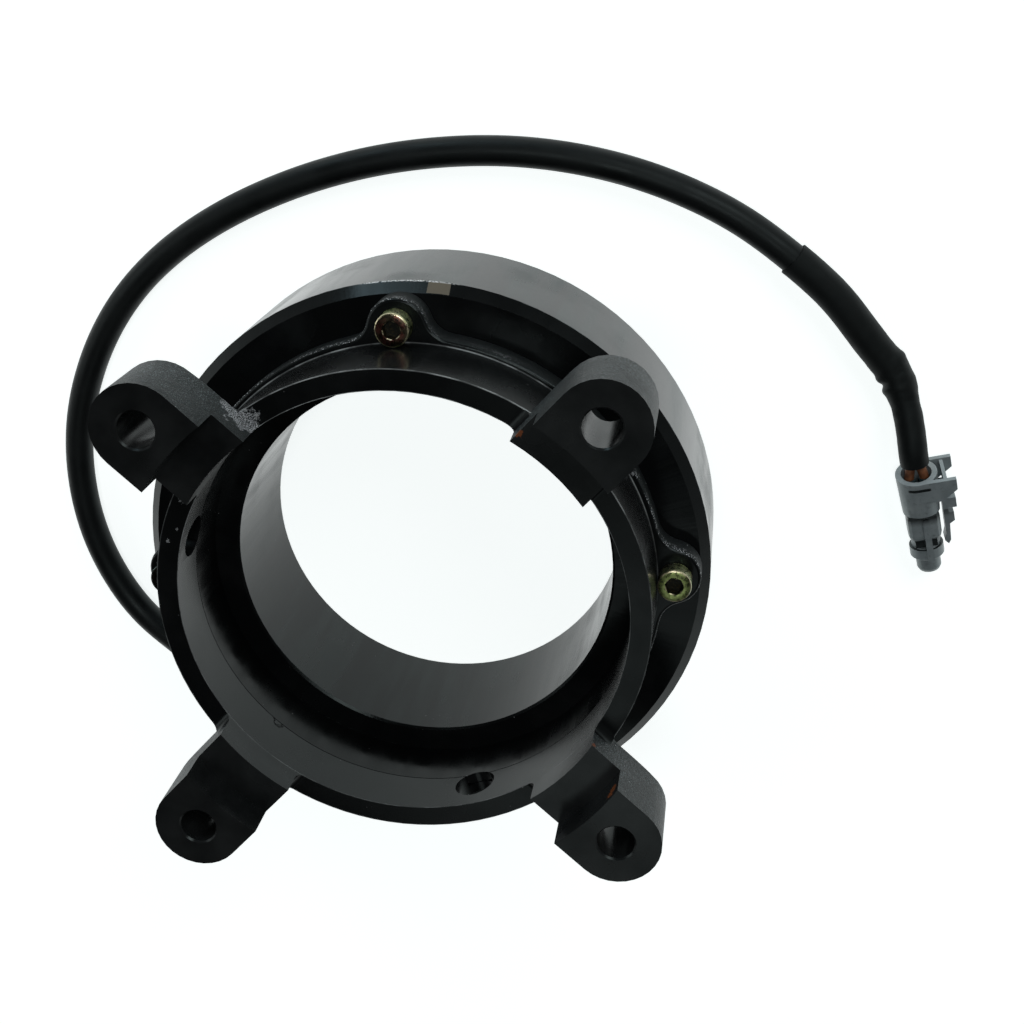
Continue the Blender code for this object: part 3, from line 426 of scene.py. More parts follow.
def ringPaint(places):
    look = Finish("ringPaint", paint["colour"], paint["gloss"])
    coarse, fine = ring["streaksAlong"]
    streaks = look.grain(paint["streaksRound"], 4.0, look.roundAxis(coarse))
    fineStreaks = look.grain(paint["streaksRound"] * 8, 3.0, look.roundAxis(fine))
    smudges = look.grain(ring["smudges"], 5.0)
    rough = look.ranged(streaks, 0.35, 0.65, paint["gloss"] - 0.03, paint["gloss"] + 0.08)
    rough = look.maths("ADD", rough, look.ranged(smudges, 0.50, 0.78, 0.0, 0.14))
    settled = look.ranged(smudges, 0.4, 0.6, 0.2, 0.8)
    dust = look.times(look.specks(ring["dustCells"], 0.075, 0.18), settled)
    colour = look.mix(dust, paint["colour"], paint["dust"])
    haze = look.cloud(ring["haze"], 6.0, 0.52, 0.80, 0.0, 0.02)
    colour = look.mix(haze, colour, paint["dust"])
    # streaks on the outer wall, fainter in the bore
    out = look.fromBore()
    onOutside = look.maths("GREATER_THAN", out, ring["radius"] - 0.0002)
    inBore = look.maths("LESS_THAN", out, ring["bore"] + 0.0002)
    onWall = look.maths("ADD", onOutside, look.times(inBore, ring["streaksInBore"]))
    streaky = look.times(look.ranged(streaks, 0.42, 0.62), onWall)
    colour = look.mix(streaky, colour, paint["streakColour"])
    # paint knocked off the edge of the chamfer, in dots
    edge = look.circleLine(ring["radius"], ring["chamferFoot"], ring["wornLine"])
    broken = look.cloud(ring["wornGrain"], 2.0, 0.44, 0.50)
    worn = look.times(look.spot(places["edgeWear"], marks["edgeWear"][1], 0.3), edge, broken)
    # one bare patch across the chamfer, its sides upright
    centre = places["primerPatch"]
    along = Vector((-centre.y, centre.x, 0.0)).normalized()
    offset = look.vector("SUBTRACT", look.place, tuple(centre))
    sideways = look.maths("ABSOLUTE", look.vector("DOT_PRODUCT", offset, tuple(along)))
    patch = look.times(
        look.maths("LESS_THAN", sideways, marks["primerPatch"][1]),
        look.maths("LESS_THAN", look.vector("LENGTH", offset), ring["patchReach"]),
        look.maths("GREATER_THAN", look.part(2), ring["chamferFoot"] + 0.0001),
        look.maths("LESS_THAN", look.part(2), ring["chamferTop"] - 0.0002))
    colour = look.mix(patch, colour, paint["primer"])
    colour = look.mix(worn, colour, paint["bareEdge"])
    look.shade("Base Color", colour)
    look.shade("Roughness", look.maths("ADD", rough, look.times(patch, 0.35)))
    look.bump(streaks, 0.00006)
    look.bump(fineStreaks, 0.000010)
    look.bump(look.grain(paint["orangePeel"], 1.0), 0.000005)
    look.shade("IOR", ring["ior"])
    return look.material


casting = {
    # heights over the pole face between which each finish comes in
    "flange": (0.0560, 0.0550),
    "flangeRim": (0.0495, 0.0520),
    "lugs": (0.0560, 0.0620),
    "pads": (0.0800, 0.0840),
    "litLinesAlongY": (0.010, 0.055),    # along Y, the painted highlight lines brighter towards the back
    "smudges": 42.0,
    "haze": 60.0,
    "padBlotches": 75.0,
    "dustCells": 450.0,
    "sandPatches": 65.0,
    "glintCells": 1700.0,
    "glintPatches": 80.0,
    "rimGlintCells": 2300.0,
    "rimGlintPatches": 48.0,
    "lineGaps": 140.0,
    "flakeGrain": 3600.0,
    "runWander": 900.0,
}


def bracketPaint(places):
    look = Finish("bracketPaint", paint["colour"], paint["gloss"])
    cast = look.painted("cast")
    smudges = look.grain(casting["smudges"], 5.0)
    grains = look.grain(paint["castGrain"], 3.0)
    lumps = look.grain(paint["castGrain"] / 5, 3.0)
    height = look.part(2)
    onLugs = look.ranged(height, *casting["lugs"], 0.15, 1.0)
    onPads = look.ranged(height, *casting["pads"])
    onFlange = look.times(look.ranged(height, *casting["flange"]), cast)

    rough = look.ranged(cast, 0.0, 1.0, paint["bracketGloss"], paint["castGloss"])
    rough = look.maths("ADD", rough, look.ranged(smudges, 0.45, 0.80, -0.03, 0.10))
    rough = look.maths("ADD", rough, look.times(onFlange, 0.16))

    colour = look.mix(look.times(cast, onLugs), paint["colour"], paint["castColour"])
    haze = look.cloud(casting["haze"], 6.0, 0.50, 0.82, 0.0, 0.025)
    colour = look.mix(haze, colour, paint["dust"])
    blotches = look.cloud(casting["padBlotches"], 4.0, 0.34, 0.66, 0.25, 1.0)
    colour = look.mix(look.times(onPads, blotches), colour, paint["padColour"])
    dust = look.times(look.specks(casting["dustCells"], 0.075, 0.18),
                      look.ranged(smudges, 0.4, 0.6, 0.2, 0.8),
                      look.maths("SUBTRACT", 1.0, onPads))
    colour = look.mix(dust, colour, paint["dust"])
    sand = look.times(look.ranged(grains, 0.52, 0.64), look.times(cast, onLugs),
                      look.cloud(casting["sandPatches"], 3.0, 0.40, 0.62, 0.35, 1.0))
    colour = look.mix(sand, colour, paint["castSpeck"])
    # painted glints: pale dots on the cast faces, and more along the flange's rim
    glints = look.times(look.specks(casting["glintCells"], 0.26, 0.10), cast,
                        look.cloud(casting["glintPatches"], 3.0, 0.48, 0.62))
    colour = look.mix(look.times(glints, 0.7), colour, paint["flakes"])
    rimGlints = look.times(look.specks(casting["rimGlintCells"], 0.36, 0.50), onFlange,
                           look.ranged(height, *casting["flangeRim"]),
                           look.cloud(casting["rimGlintPatches"], 3.0, 0.42, 0.54))
    colour = look.mix(look.times(rimGlints, 0.75), colour, paint["flakes"])

    # painted highlights along the ring's foot and rims, broken by gaps
    gaps = look.times(look.cloud(casting["lineGaps"], 4.0, 0.42, 0.60, 0.25, 1.0),
                      look.ranged(look.part(1), *casting["litLinesAlongY"], 0.30, 1.0))
    lines = [look.times(look.circleLine(*line), gaps) for line in paintedHighlightLines]
    colour = coverWith(look, colour, lines, paint["edgeHighlight"])
    rust = [look.spot(place, radius) for place, radius in places["rust"]]
    colour = coverWith(look, colour, rust, paint["rust"])
    scuffs = [look.times(look.spot(place, radius, 0.8), 0.6) for place, radius in places["scuffs"]]
    colour = coverWith(look, colour, scuffs, paint["scuff"])
    patch = 0.0
    for place, radius in places["roughPatch"]:
        patch = look.maths("MAXIMUM", patch, look.spot(place, radius, 0.7))
    flakes = look.times(patch, look.cloud(casting["flakeGrain"], 5.0, 0.45, 0.57))
    colour = look.mix(look.times(flakes, 0.85), colour, paint["flakes"])
    look.shade("Base Color", colour)
    look.shade("Roughness", look.maths("ADD", rough, look.times(patch, 0.25)))

    look.bump(look.times(grains, cast), 0.00028)
    look.bump(look.times(lumps, cast), 0.00030)
    look.bump(flakes, 0.00025)
    fromRun = look.vector("DISTANCE", look.place, tuple(places["paintRun"]))
    ringAway = look.maths("SUBTRACT", fromRun, marks["paintRun"][1])
    wander = look.cloud(casting["runWander"], 2.0, 0.3, 0.7, -0.0006, 0.0006)
    away = look.maths("ABSOLUTE", look.maths("ADD", ringAway, wander))
    look.bump(look.ranged(away, 0.00035, 0.0), 0.00012)      # a round run in the paint
    look.bump(look.grain(paint["orangePeel"], 1.0), 0.000004)
    look.shade("IOR", paint["ior"])
    return look.material


zinc = {
    "side": ((0.42, 0.37, 0.26), (0.33, 0.38, 0.17)),
    "face": ((0.062, 0.054, 0.034), (0.140, 0.056, 0.044)),
    "rightFaceHighlight": (0.36, 0.46, 0.17),
    "rim": (0.66, 0.60, 0.40),
    "grime": (0.030, 0.026, 0.022),
    "darkerHead": (0.020, 0.019, 0.016),
    "right": (0.060, 0.068),        # along X, where the right-hand screw's painted highlight comes in
    "hidden": (-0.064, -0.070),     # the same for the screw behind the ring, painted darker
}


def yellowZinc():
    look = Finish("yellowZinc", (0.40, 0.34, 0.20), 0.24, 1.0)
    face, rim = look.painted("headFace"), look.painted("headRim")
    side = look.mix(look.cloud(170.0, 3.0, 0.36, 0.60), *zinc["side"])
    top = look.mix(look.cloud(230.0, 2.0, 0.47, 0.60), *zinc["face"])
    # painted highlight on the right-hand screw's head face
    top = look.mix(look.ranged(look.part(0), *zinc["right"]), top, zinc["rightFaceHighlight"])
    colour = look.mix(face, side, top)
    grime = look.cloud(1000.0, 4.0, 0.46, 0.68, 0.0, 0.85)
    colour = look.mix(grime, colour, zinc["grime"])
    rimWear = look.cloud(700.0, 3.0, 0.36, 0.50)
    colour = look.mix(look.times(rim, rimWear), colour, zinc["rim"])
    hidden = look.ranged(look.part(0), *zinc["hidden"])
    # the screw behind the ring painted darker all over
    look.shade("Base Color", look.mix(hidden, colour, zinc["darkerHead"]))
    look.shade("Roughness", look.cloud(600.0, 4.0, 0.3, 0.7, 0.20, 0.44))
    look.bump(look.grain(2600.0, 2.0), 0.000012)
    return look.material


def socketDarkBrown():
    # inside the hex socket: dark brown, with paler spots
    look = Finish("socketDarkBrown", (0.020, 0.018, 0.012), 0.45)
    shine = look.cloud(1400.0, 3.0, 0.55, 0.72)
    look.shade("Base Color", look.mix(shine, (0.010, 0.009, 0.005), (0.060, 0.045, 0.014)))
    look.shade("Roughness", look.cloud(1100.0, 3.0, 0.3, 0.7, 0.30, 0.60))
    look.bump(look.grain(2200.0, 3.0), 0.00003)
    look.shade("Specular IOR Level", 0.2)
    return look.material


def softBlack(name, colour, roughness, waves, depth, shine):
    # rubber and soft plastic: faint long waves, a fine skin and greasy patches
    look = Finish(name, colour, roughness)
    patches = look.grain(85.0, 5.0)
    paler = tuple(channel * 1.5 + 0.001 for channel in colour)
    look.shade("Base Color", look.mix(look.ranged(patches, 0.42, 0.72, 0.0, 0.7), colour, paler))
    look.shade("Roughness", look.ranged(patches, 0.3, 0.7, roughness - 0.06, roughness + 0.10))
    look.bump(look.grain(waves, 2.0), depth)
    look.bump(look.grain(3200.0, 2.0), 0.000010)
    look.shade("Specular IOR Level", shine)
    return look.material


greyPlug = {
    "tones": ((0.160, 0.190, 0.200), (0.215, 0.250, 0.260)),
    "grime": (0.060, 0.068, 0.072),
    "rubbedAndLit": (0.46, 0.52, 0.53),
    # painted shade: the shadow behind the collar, the dark of the slit and of the recesses
    "collarShadow": (0.012, 0.014, 0.015),
    "slitShade": (0.014, 0.016, 0.017),
    "recess": (0.010, 0.012, 0.013),
    "shadowReach": (0.0008, 0.0032),      # past the collar
    "slitHalf": 0.00048,
    "slitSides": (0.0036, 0.0030),
}


def greyPlastic():
    look = Finish("greyPlastic", greyPlug["tones"][0], 0.36)
    clouds = look.grain(240.0, 4.0)
    colour = look.mix(look.ranged(clouds, 0.35, 0.70), *greyPlug["tones"])
    grime = look.cloud(700.0, 5.0, 0.56, 0.74, 0.0, 0.50)
    colour = look.mix(grime, colour, greyPlug["grime"])
    # pale rounded edges and lips: rubbing, and a painted highlight
    colour = look.mix(look.times(look.painted("edge"), 0.60), colour, greyPlug["rubbedAndLit"])
    # the plug's own axes, for the painted shadow behind its collar and the painted shade in its
    # slit
    inPlug = look.add("ShaderNodeMapping", vector_type="TEXTURE")
    look.feed(inPlug.inputs["Vector"], look.place)
    inPlug.inputs["Location"].default_value = plugFrame.translation
    inPlug.inputs["Rotation"].default_value = plugFrame.to_euler()
    split = look.add("ShaderNodeSeparateXYZ")
    look.feed(split.inputs[0], inPlug.outputs[0])
    along, sideways, upward = split.outputs
    collarEnd, slit = plugShape["collarEnd"], plugShape["slit"]
    fullTo, goneAt = greyPlug["shadowReach"]
    # painted shadow on the body just behind the collar's overhang
    behind = look.times(look.maths("GREATER_THAN", along, collarEnd - 0.0001),
                        look.ranged(along, collarEnd + goneAt, collarEnd + fullTo),
                        look.ranged(upward, 0.0015, 0.0030))
    colour = look.mix(behind, colour, greyPlug["collarShadow"])
    # painted shade in the collar's slit
    fromSlit = look.maths("ABSOLUTE", look.maths("SUBTRACT", along, sum(slit[:2]) / 2))
    atSlit = look.times(look.maths("LESS_THAN", fromSlit, greyPlug["slitHalf"]),
                        look.ranged(look.maths("ABSOLUTE", sideways), *greyPlug["slitSides"]),
                        look.maths("GREATER_THAN", upward, 0.0030))
    colour = look.mix(atSlit, colour, greyPlug["slitShade"])
    # painted shade on the faces that lie in the recesses
    look.shade("Base Color", look.mix(look.painted("recess"), colour, greyPlug["recess"]))
    look.shade("Roughness", look.ranged(clouds, 0.3, 0.7, 0.30, 0.44))
    look.bump(look.grain(2400.0, 3.0), 0.000020)
    return look.material


def wireSkin():
    look = Finish("wireSkin", (0.17, 0.065, 0.030), 0.42)
    tone = look.cloud(420.0, 3.0, 0.35, 0.65)
    look.shade("Base Color", look.mix(tone, (0.11, 0.042, 0.020), (0.24, 0.095, 0.042)))
    look.bump(look.grain(1500.0, 2.0), 0.00002)
    return look.material


def toned(colour, factor):
    return tuple(min(1.0, channel * factor) for channel in colour)


def plainStuff(name, colour, roughness, metallic=0.0, scale=400.0, spread=0.25, depth=0.00003):
    # inner pieces: a little variation of tone and a fine surface
    look = Finish(name, colour, roughness, metallic)
    tone = look.grain(scale, 4.0)
    look.shade("Base Color", look.mix(look.ranged(tone, 0.35, 0.65),
                                      toned(colour, 1 - spread), toned(colour, 1 + spread)))
    look.shade("Roughness", look.ranged(tone, 0.3, 0.7, roughness - 0.06, roughness + 0.08))
    look.bump(look.grain(scale * 3, 3.0), depth)
    return look.material


def windingStuff(name, colour, roughness, metallic, pitch, depth):
    # turns of wire or tape, one above the other along the axis
    look = Finish(name, colour, roughness, metallic)
    turns = look.maths("SINE", look.times(look.part(2), 2 * math.pi / pitch))
    tone = look.cloud(350.0, 3.0, 0.35, 0.65)
    look.shade("Base Color", look.mix(tone, toned(colour, 0.7), colour))
    look.bump(turns, depth)
    return look.material


def makePaints():
    # single marks become a point, lists keep their radii
    places = {}
    for name, given in marks.items():
        if isinstance(given, list):
            places[name] = [(pointUnder(pixel), radius) for pixel, radius in given]
        else:
            places[name] = pointUnder(given[0])
    print("marks placed")
    return ringPaint(places), bracketPaint(places)


# the lead: cable, sleeve, wires and plug

lead = {
    "cableRadius": 0.0046,
    "grommetRadius": 0.0957,        # from the bore's axis to the cable in its grommet
    "grommetAngle": math.radians(235.0),
    "grommetHeight": 0.0130,
    "cableStart": 0.0140,           # from the grommet's neck to the cable's hidden end
    "barrelEnd": 0.0300,
    "plugPlace": (0.1502, 0.0181, 0.01018),
    "plugHeading": math.radians(-79.4),
    "plugPitch": math.radians(9.0),
    "plugEnds": (0.0060, 0.0003),
    "wireRadius": 0.0015,
    "wireSpread": 0.00165,
    "cavityOffset": 0.0023,
    "wireDepths": (0.0032, 0.0074, 0.0110),
    "floorHeight": 0.00465,         # of the cable's middle line
    "sleeveStart": 21,              # points of the route
    "sheathEnd": 24,
}

onFloor = [
    (-0.1204, -0.0247), (-0.1259, -0.0067), (-0.1272, 0.0117), (-0.1247, 0.0309),
    (-0.1187, 0.0481), (-0.1091, 0.0650), (-0.0973, 0.0789), (-0.0822, 0.0911),
    (-0.0661, 0.1003), (-0.0478, 0.1079), (-0.0299, 0.1132), (-0.0115, 0.1167),
    (0.0071, 0.1183), (0.0266, 0.1180), (0.0448, 0.1156), (0.0636, 0.1108),
]
route = [
    (-0.0892, -0.0541, 0.0121), (-0.1000, -0.0474, 0.0086), (-0.1106, -0.0395, 0.0058),
    *((*place, lead["floorHeight"]) for place in onFloor),
    (0.0806, 0.1041, 0.0047), (0.0977, 0.0946, 0.0050), (0.1120, 0.0836, 0.00535),
    (0.1259, 0.0702, 0.00535), (0.1371, 0.0554, 0.0054), (0.1428, 0.0478, 0.0057),
    (0.1467, 0.0375, 0.0081), (0.1483, 0.0298, 0.0101),
]

plugFrame = (Matrix.Translation(lead["plugPlace"]) @ Matrix.Rotation(lead["plugHeading"], 4, "Z")
             @ Matrix.Rotation(lead["plugPitch"], 4, "Y"))
leadFrame = (Matrix.Translation((0, 0, lead["grommetHeight"]))
             @ Matrix.Rotation(lead["grommetAngle"], 4, "Z"))


def splineThrough(points, samples=12):
    # a natural cubic spline through the points
    knots = np.array(points, dtype=float)
    spans = np.linalg.norm(np.diff(knots, axis=0), axis=1)
    count = len(knots)
    matrix = np.eye(count)
    right = np.zeros_like(knots)
    for index in range(1, count - 1):
        before, after = spans[index - 1], spans[index]
        matrix[index, index - 1:index + 2] = before, 2 * (before + after), after
        right[index] = 6 * ((knots[index + 1] - knots[index]) / after
                            - (knots[index] - knots[index - 1]) / before)
    bends = np.linalg.solve(matrix, right)
    line = []
    for index, span in enumerate(spans):
        for step in np.linspace(0.0, 1.0, samples, endpoint=False):
            far, near = step * span, (1.0 - step) * span
            bend, nextBend = bends[index], bends[index + 1]
            line.append(bend * near ** 3 / (6 * span) + nextBend * far ** 3 / (6 * span)
                        + (knots[index] / span - bend * span / 6) * near
                        + (knots[index + 1] / span - nextBend * span / 6) * far)
    line.append(knots[-1])
    return np.array(line)


def distances(line):
    return np.concatenate([[0.0], np.cumsum(np.linalg.norm(np.diff(line, axis=0), axis=1))])


def evenPoints(line, spacing):
    along = distances(line)
    count = max(2, round(along[-1] / spacing) + 1)
    marksAlong = np.linspace(0.0, along[-1], count)
    return np.column_stack([np.interp(marksAlong, along, line[:, axis]) for axis in range(3)])


def nearestIndex(line, point):
    return int(np.argmin(np.linalg.norm(line - np.array(point), axis=1)))


def leadLine():
    start = [leadFrame @ Vector((lead["grommetRadius"], -offset, 0.0))
             for offset in (lead["cableStart"], lead["barrelEnd"])]
    end = [plugFrame @ Vector((-offset, 0.0, 0.0)) for offset in lead["plugEnds"]]
    return splineThrough([*map(tuple, start), *route, *map(tuple, end)])


sleeveShape = {
    "radius": 0.0053,
    "wall": 0.0004,
    "neckRadius": 0.0044,
    "neckStarts": 0.0030,        # past the end of the cable's sheath
    "neckLength": 0.0080,
    "spacing": 0.0005,
    "shortOfPlug": 0.0018,
    "wrinkle": 0.00016,
    "pinch": 0.00075,
    "pinchPlace": 0.0022,
    "pinchLength": 0.0012,
    "ridge": 0.00070,
    "ridgePlace": -0.0030,
    "ridgeLength": 0.0020,
    "wrinklePlace": 0.004,
    "wrinkleLength": 0.016,
    "creases": (420.0, 900.0),      # waves a metre
}


def hump(value):
    return math.exp(-value ** 2)


def sleeveRadii(along, sheathEnd):
    # full width over the cable, then an easy step down to the two wires
    past = (along - sheathEnd - sleeveShape["neckStarts"]) / sleeveShape["neckLength"]
    ease = np.clip(past, 0.0, 1.0)
    ease = ease * ease * (3 - 2 * ease)
    return sleeveShape["radius"] + (sleeveShape["neckRadius"] - sleeveShape["radius"]) * ease


def makeSleeve(line, material):
    first = nearestIndex(line, route[lead["sleeveStart"]])
    sheath = nearestIndex(line, route[lead["sheathEnd"]])
    points = evenPoints(line[first:], sleeveShape["spacing"])
    points = points[:-round(sleeveShape["shortOfPlug"] / sleeveShape["spacing"])]
    along = distances(points)
    sheathEnd = distances(line[first:])[sheath - first]
    radii = sleeveRadii(along, sheathEnd)
    mesh = tubeMesh("cableSleeve", points, sleeveShape["radius"], 9, radii, capped=False)
    pinchAt = sheathEnd + sleeveShape["pinchPlace"]
    inner = Vector((-1.0, -0.35, 0.0)).normalized()       # the hollow side of the bend
    for vertex in mesh.vertices:
        index = int(np.argmin(np.linalg.norm(points - np.array(vertex.co), axis=1)))
        out = (vertex.co - Vector(points[index])).normalized()
        fromSheath = along[index] - sheathEnd
        toPinch = (along[index] - pinchAt) / sleeveShape["pinchLength"]
        # a deep fold on the hollow side, with a low one before and after it
        facing = max(0.0, out.dot(inner))
        folds = hump(toPinch) - 0.5 * hump(toPinch - 2.1) - 0.6 * hump(toPinch + 2.3)
        move = -sleeveShape["pinch"] * folds * facing ** 2
        # a ridge on the outside, over the end of the sheath
        backing = max(0.0, -out.dot(inner))
        toRidge = (fromSheath - sleeveShape["ridgePlace"]) / sleeveShape["ridgeLength"]
        move += sleeveShape["ridge"] * backing ** 2 * hump(toRidge)
        # wrinkles all along, strongest near that end
        nearEnd = hump((fromSheath - sleeveShape["wrinklePlace"]) / sleeveShape["wrinkleLength"])
        coarse, fine = sleeveShape["creases"]
        crease = noise.noise(vertex.co * coarse) + 0.5 * noise.noise(vertex.co * fine)
        move += sleeveShape["wrinkle"] * (0.18 + nearEnd) * crease
        vertex.co += out * move
    sleeve = linkPiece("cableSleeve", mesh, material)
    wall = sleeve.modifiers.new("wall", "SOLIDIFY")
    wall.thickness = sleeveShape["wall"]
    wall.offset = -1.0
    applyAll(sleeve)
    smoothShading(sleeve, 60.0)
    return placePiece(sleeve, "shrink_sleeve", "cable_sleeve")


def makeWire(side, name, line, material):
    # side by side in the sleeve, then spread to the two cavities of the plug
    sheath = nearestIndex(line, route[lead["sheathEnd"]])
    neck = evenPoints(line[sheath:], 0.0023)
    points = []
    for index, point in enumerate(neck):
        ahead = neck[min(index + 1, len(neck) - 1)] - neck[max(index - 1, 0)]
        across = np.array([-ahead[1], ahead[0], 0.0]) / math.hypot(ahead[0], ahead[1])
        points.append(tuple(point + across * side * lead["wireSpread"]))
    points[0] = tuple(np.array(points[0]) + (neck[1] - neck[0]) * 0.45)
    for depth in lead["wireDepths"]:
        points.append(tuple(plugFrame @ Vector((depth, side * lead["cavityOffset"], 0.0))))
    mesh = tubeMesh(name, splineThrough(points, 4), lead["wireRadius"], 5)
    wire = linkPiece(name, mesh, material)
    smoothShading(wire, 50.0)
    node = "connector_wire_1" if side < 0 else "connector_wire_2"
    return placePiece(wire, "brown_insulation", node)


plugShape = {
    # along the plug from its mouth, as far as the scene needs them
    "collarEnd": 0.0148,
    "slit": (0.0040, 0.0052, 0.0044),       # start, end and least height over the axis
    "groove": (0.0146, 0.0162),
    "recess": (0.0240, 0.0275),
    "bodyTop": 0.0040,
    "lipDepth": 0.0030,
    "lipTone": 0.55,
    "edge": 0.00022,
}


def alongPlug(face):
    # its middle and its direction, along the plug's own axes
    return (plugFrame.inverted() @ face.calc_center_median(),
            plugFrame.to_3x3().inverted() @ face.normal)


def inRecess(face):
    # the slit, the step behind the collar and the pockets before the ring, which lie in the dark
    middle, turn = alongPlug(face)
    slitStart, slitEnd, slitHeight = plugShape["slit"]
    if slitStart < middle.x < slitEnd and middle.z > 0.003 and abs(turn.x) > 0.5:
        return True
    if slitStart < middle.x < slitEnd and 0.003 < middle.z < slitHeight + 0.0004 and turn.z > 0.5:
        return True
    if plugShape["groove"][0] < middle.x < plugShape["groove"][1] and turn.x > 0.3:
        return True
    start, end = plugShape["recess"]
    return start < middle.x < end and math.hypot(middle.y, middle.z) < plugShape["bodyTop"]


def onLip(face):
    # the end faces of the mouth and of the ring round the nose, painted pale for rubbing and as a
    # painted highlight
    middle, turn = alongPlug(face)
    return turn.x < -0.9 and (middle.x < plugShape["lipDepth"] or middle.x > plugShape["recess"][0])


def makePlug(material):
    work = copyOfNode("connector_housing")
    edgeMask = work.faces.layers.float.new("edge")
    recessMask = work.faces.layers.float.new("recess")
    # the rounded edges are marked for the pale rubbed look and painted highlight
    for face in roundEdges(work, plugShape["edge"], 2, 25.0):
        face[edgeMask] = 1.0
    for face in work.faces:
        if onLip(face):
            face[edgeMask] = plugShape["lipTone"]
        # faces in the slit, behind the collar and in the pockets take painted shade
        if inRecess(face):
            face[recessMask] = 1.0
            face[edgeMask] = 0.0
    return finishPiece(work, "plugHousing", material, "grey_plastic", "connector_housing")


def makeGrommet(material):
    work = copyOfNode("cable_grommet")
    roundEdges(work, 0.00030, 2, 30.0)
    return finishPiece(work, "leadGrommet", material, "black_rubber", "cable_grommet")


leadSkins = {
    # colour, roughness, waves a metre, their depth, shine
    "jacket": ((0.0026, 0.0029, 0.0032), 0.44, 260.0, 0.00006, 0.22),
    "sleeve": ((0.0026, 0.0030, 0.0032), 0.55, 180.0, 0.00010, 0.20),
    "grommet": ((0.012, 0.012, 0.0125), 0.55, 400.0, 0.00004, 0.30),
}


def makeLead():
    line = leadLine()
    jacket = softBlack("cableJacket", *leadSkins["jacket"])
    sheath = nearestIndex(line, route[lead["sheathEnd"]])
    leaves = leadFrame @ Vector((lead["grommetRadius"], -lead["barrelEnd"], 0.0))
    out = nearestIndex(line, leaves)
    free = evenPoints(line[out:sheath + 1], 0.0030)
    cable = linkPiece("leadCable", tubeCurve("leadCable", free, lead["cableRadius"], 8), jacket)
    placePiece(cable, "cable_jacket", "lead_cable")
    hidden = linkPiece("cableEnd", tubeMesh("cableEnd", evenPoints(line[:out + 1], 0.0030)[:-1],
                                           lead["cableRadius"], 8), jacket)
    smoothShading(hidden, 50.0)
    placePiece(hidden, "cable_jacket")
    sleeve = makeSleeve(line, softBlack("sleeveSkin", *leadSkins["sleeve"]))
    brown = wireSkin()
    wires = [makeWire(-1, "plugWire1", line, brown), makeWire(1, "plugWire2", line, brown)]
    plug = makePlug(greyPlastic())
    grommet = makeGrommet(softBlack("grommetRubber", *leadSkins["grommet"]))


# the two painted pieces, their edges rounded

bracket = {
    "ringOuter": 0.0726,
    "flangeHeight": 0.0533,
    "screwCircle": 0.0778,
    "screwHole": 0.0033,
    "lugCircle": 0.0880,
    "lugHole": 0.0054,
    "lugUnderside": 0.0770,
    "lugUndersideHole": 0.0080,
    "machinedEdge": 0.00035,
    "castEdge": 0.0010,
    "lugEdge": 0.0009,
}


def fromAxis(point):
    return math.hypot(point.x, point.y)


def toNearest(point, radius, first):
    # distance from the nearest of four upright axes on a circle
    steps = [first + index * math.pi / 2 for index in range(4)]
    return min(math.hypot(point.x - radius * math.cos(step), point.y - radius * math.sin(step))
               for step in steps)


def liesAt(edge, height, beyond):
    # at the height all along, and outside the ring wall
    return all(abs(vertex.co.z - height) < 0.0001
               and fromAxis(vertex.co) > bracket["ringOuter"] + beyond for vertex in edge.verts)


def onFlangeRim(edge):
    fromScrew = toNearest(edge.verts[0].co, bracket["screwCircle"], 0.0)
    atRim = liesAt(edge, bracket["flangeHeight"], 0.0010)
    return atRim and fromScrew >= bracket["screwHole"] + 0.0003


def onLugUnderside(edge):
    fromHole = toNearest(edge.verts[0].co, bracket["lugCircle"], math.pi / 4)
    return liesAt(edge, bracket["lugUnderside"], 0.0040) and fromHole > bracket["lugUndersideHole"]


def isCast(face):
    # the faces left as they came out of the mould: sides of lugs, ears and flange
    middle, normal = face.calc_center_median(), face.normal
    if fromAxis(middle) < bracket["ringOuter"] + 0.0008:
        return False
    if toNearest(middle, bracket["lugCircle"], math.pi / 4) < bracket["lugHole"] + 0.0010:
        return False
    if toNearest(middle, bracket["screwCircle"], 0.0) < bracket["screwHole"] + 0.0002:
        return False
    inward = normal.dot(Vector((middle.x, middle.y, 0.0)).normalized()) < -0.8
    if inward:
        return False
    underside = normal.z < -0.5 and middle.z > bracket["flangeHeight"] + 0.010
    return abs(normal.z) < 0.80 or underside


def makeBracket(material):
    work = copyOfNode("mounting_bracket")
    roundEdges(work, bracket["castEdge"], 4, 30.0, onFlangeRim)
    roundEdges(work, bracket["lugEdge"], 3, 30.0, onLugUnderside)
    roundEdges(work, bracket["machinedEdge"], 2, 32.0)
    castMask = work.faces.layers.float.new("cast")
    for face in work.faces:
        face[castMask] = 1.0 if isCast(face) else 0.0
    return finishPiece(work, "castBracket", material, "black_paint", "mounting_bracket")


def makeHousing(material):
    work = copyOfNode("coil_housing")
    roundEdges(work, ring["edgeRounding"], 2, 22.0)
    return finishPiece(work, "turnedHousing", material, "black_paint", "coil_housing")


# cap screws

capScrew = {
    "headHeight": 0.0060,
    "edge": 0.00042,
    "foot": 0.00050,
    "shank": 0.0030,
    "socketFlats": 0.0050,
    "socketDepth": 0.0032,
    "teeth": 42,
    "stepsPerTooth": 4,
    "knurlRows": 18,
    "knurlDepth": 0.00020,
    "threadPitch": 0.0010,
    "threadDepth": 0.00030,
    "turns": (17.0, 41.0, 5.0, 28.0),       # how far each was screwed in, in degrees
}


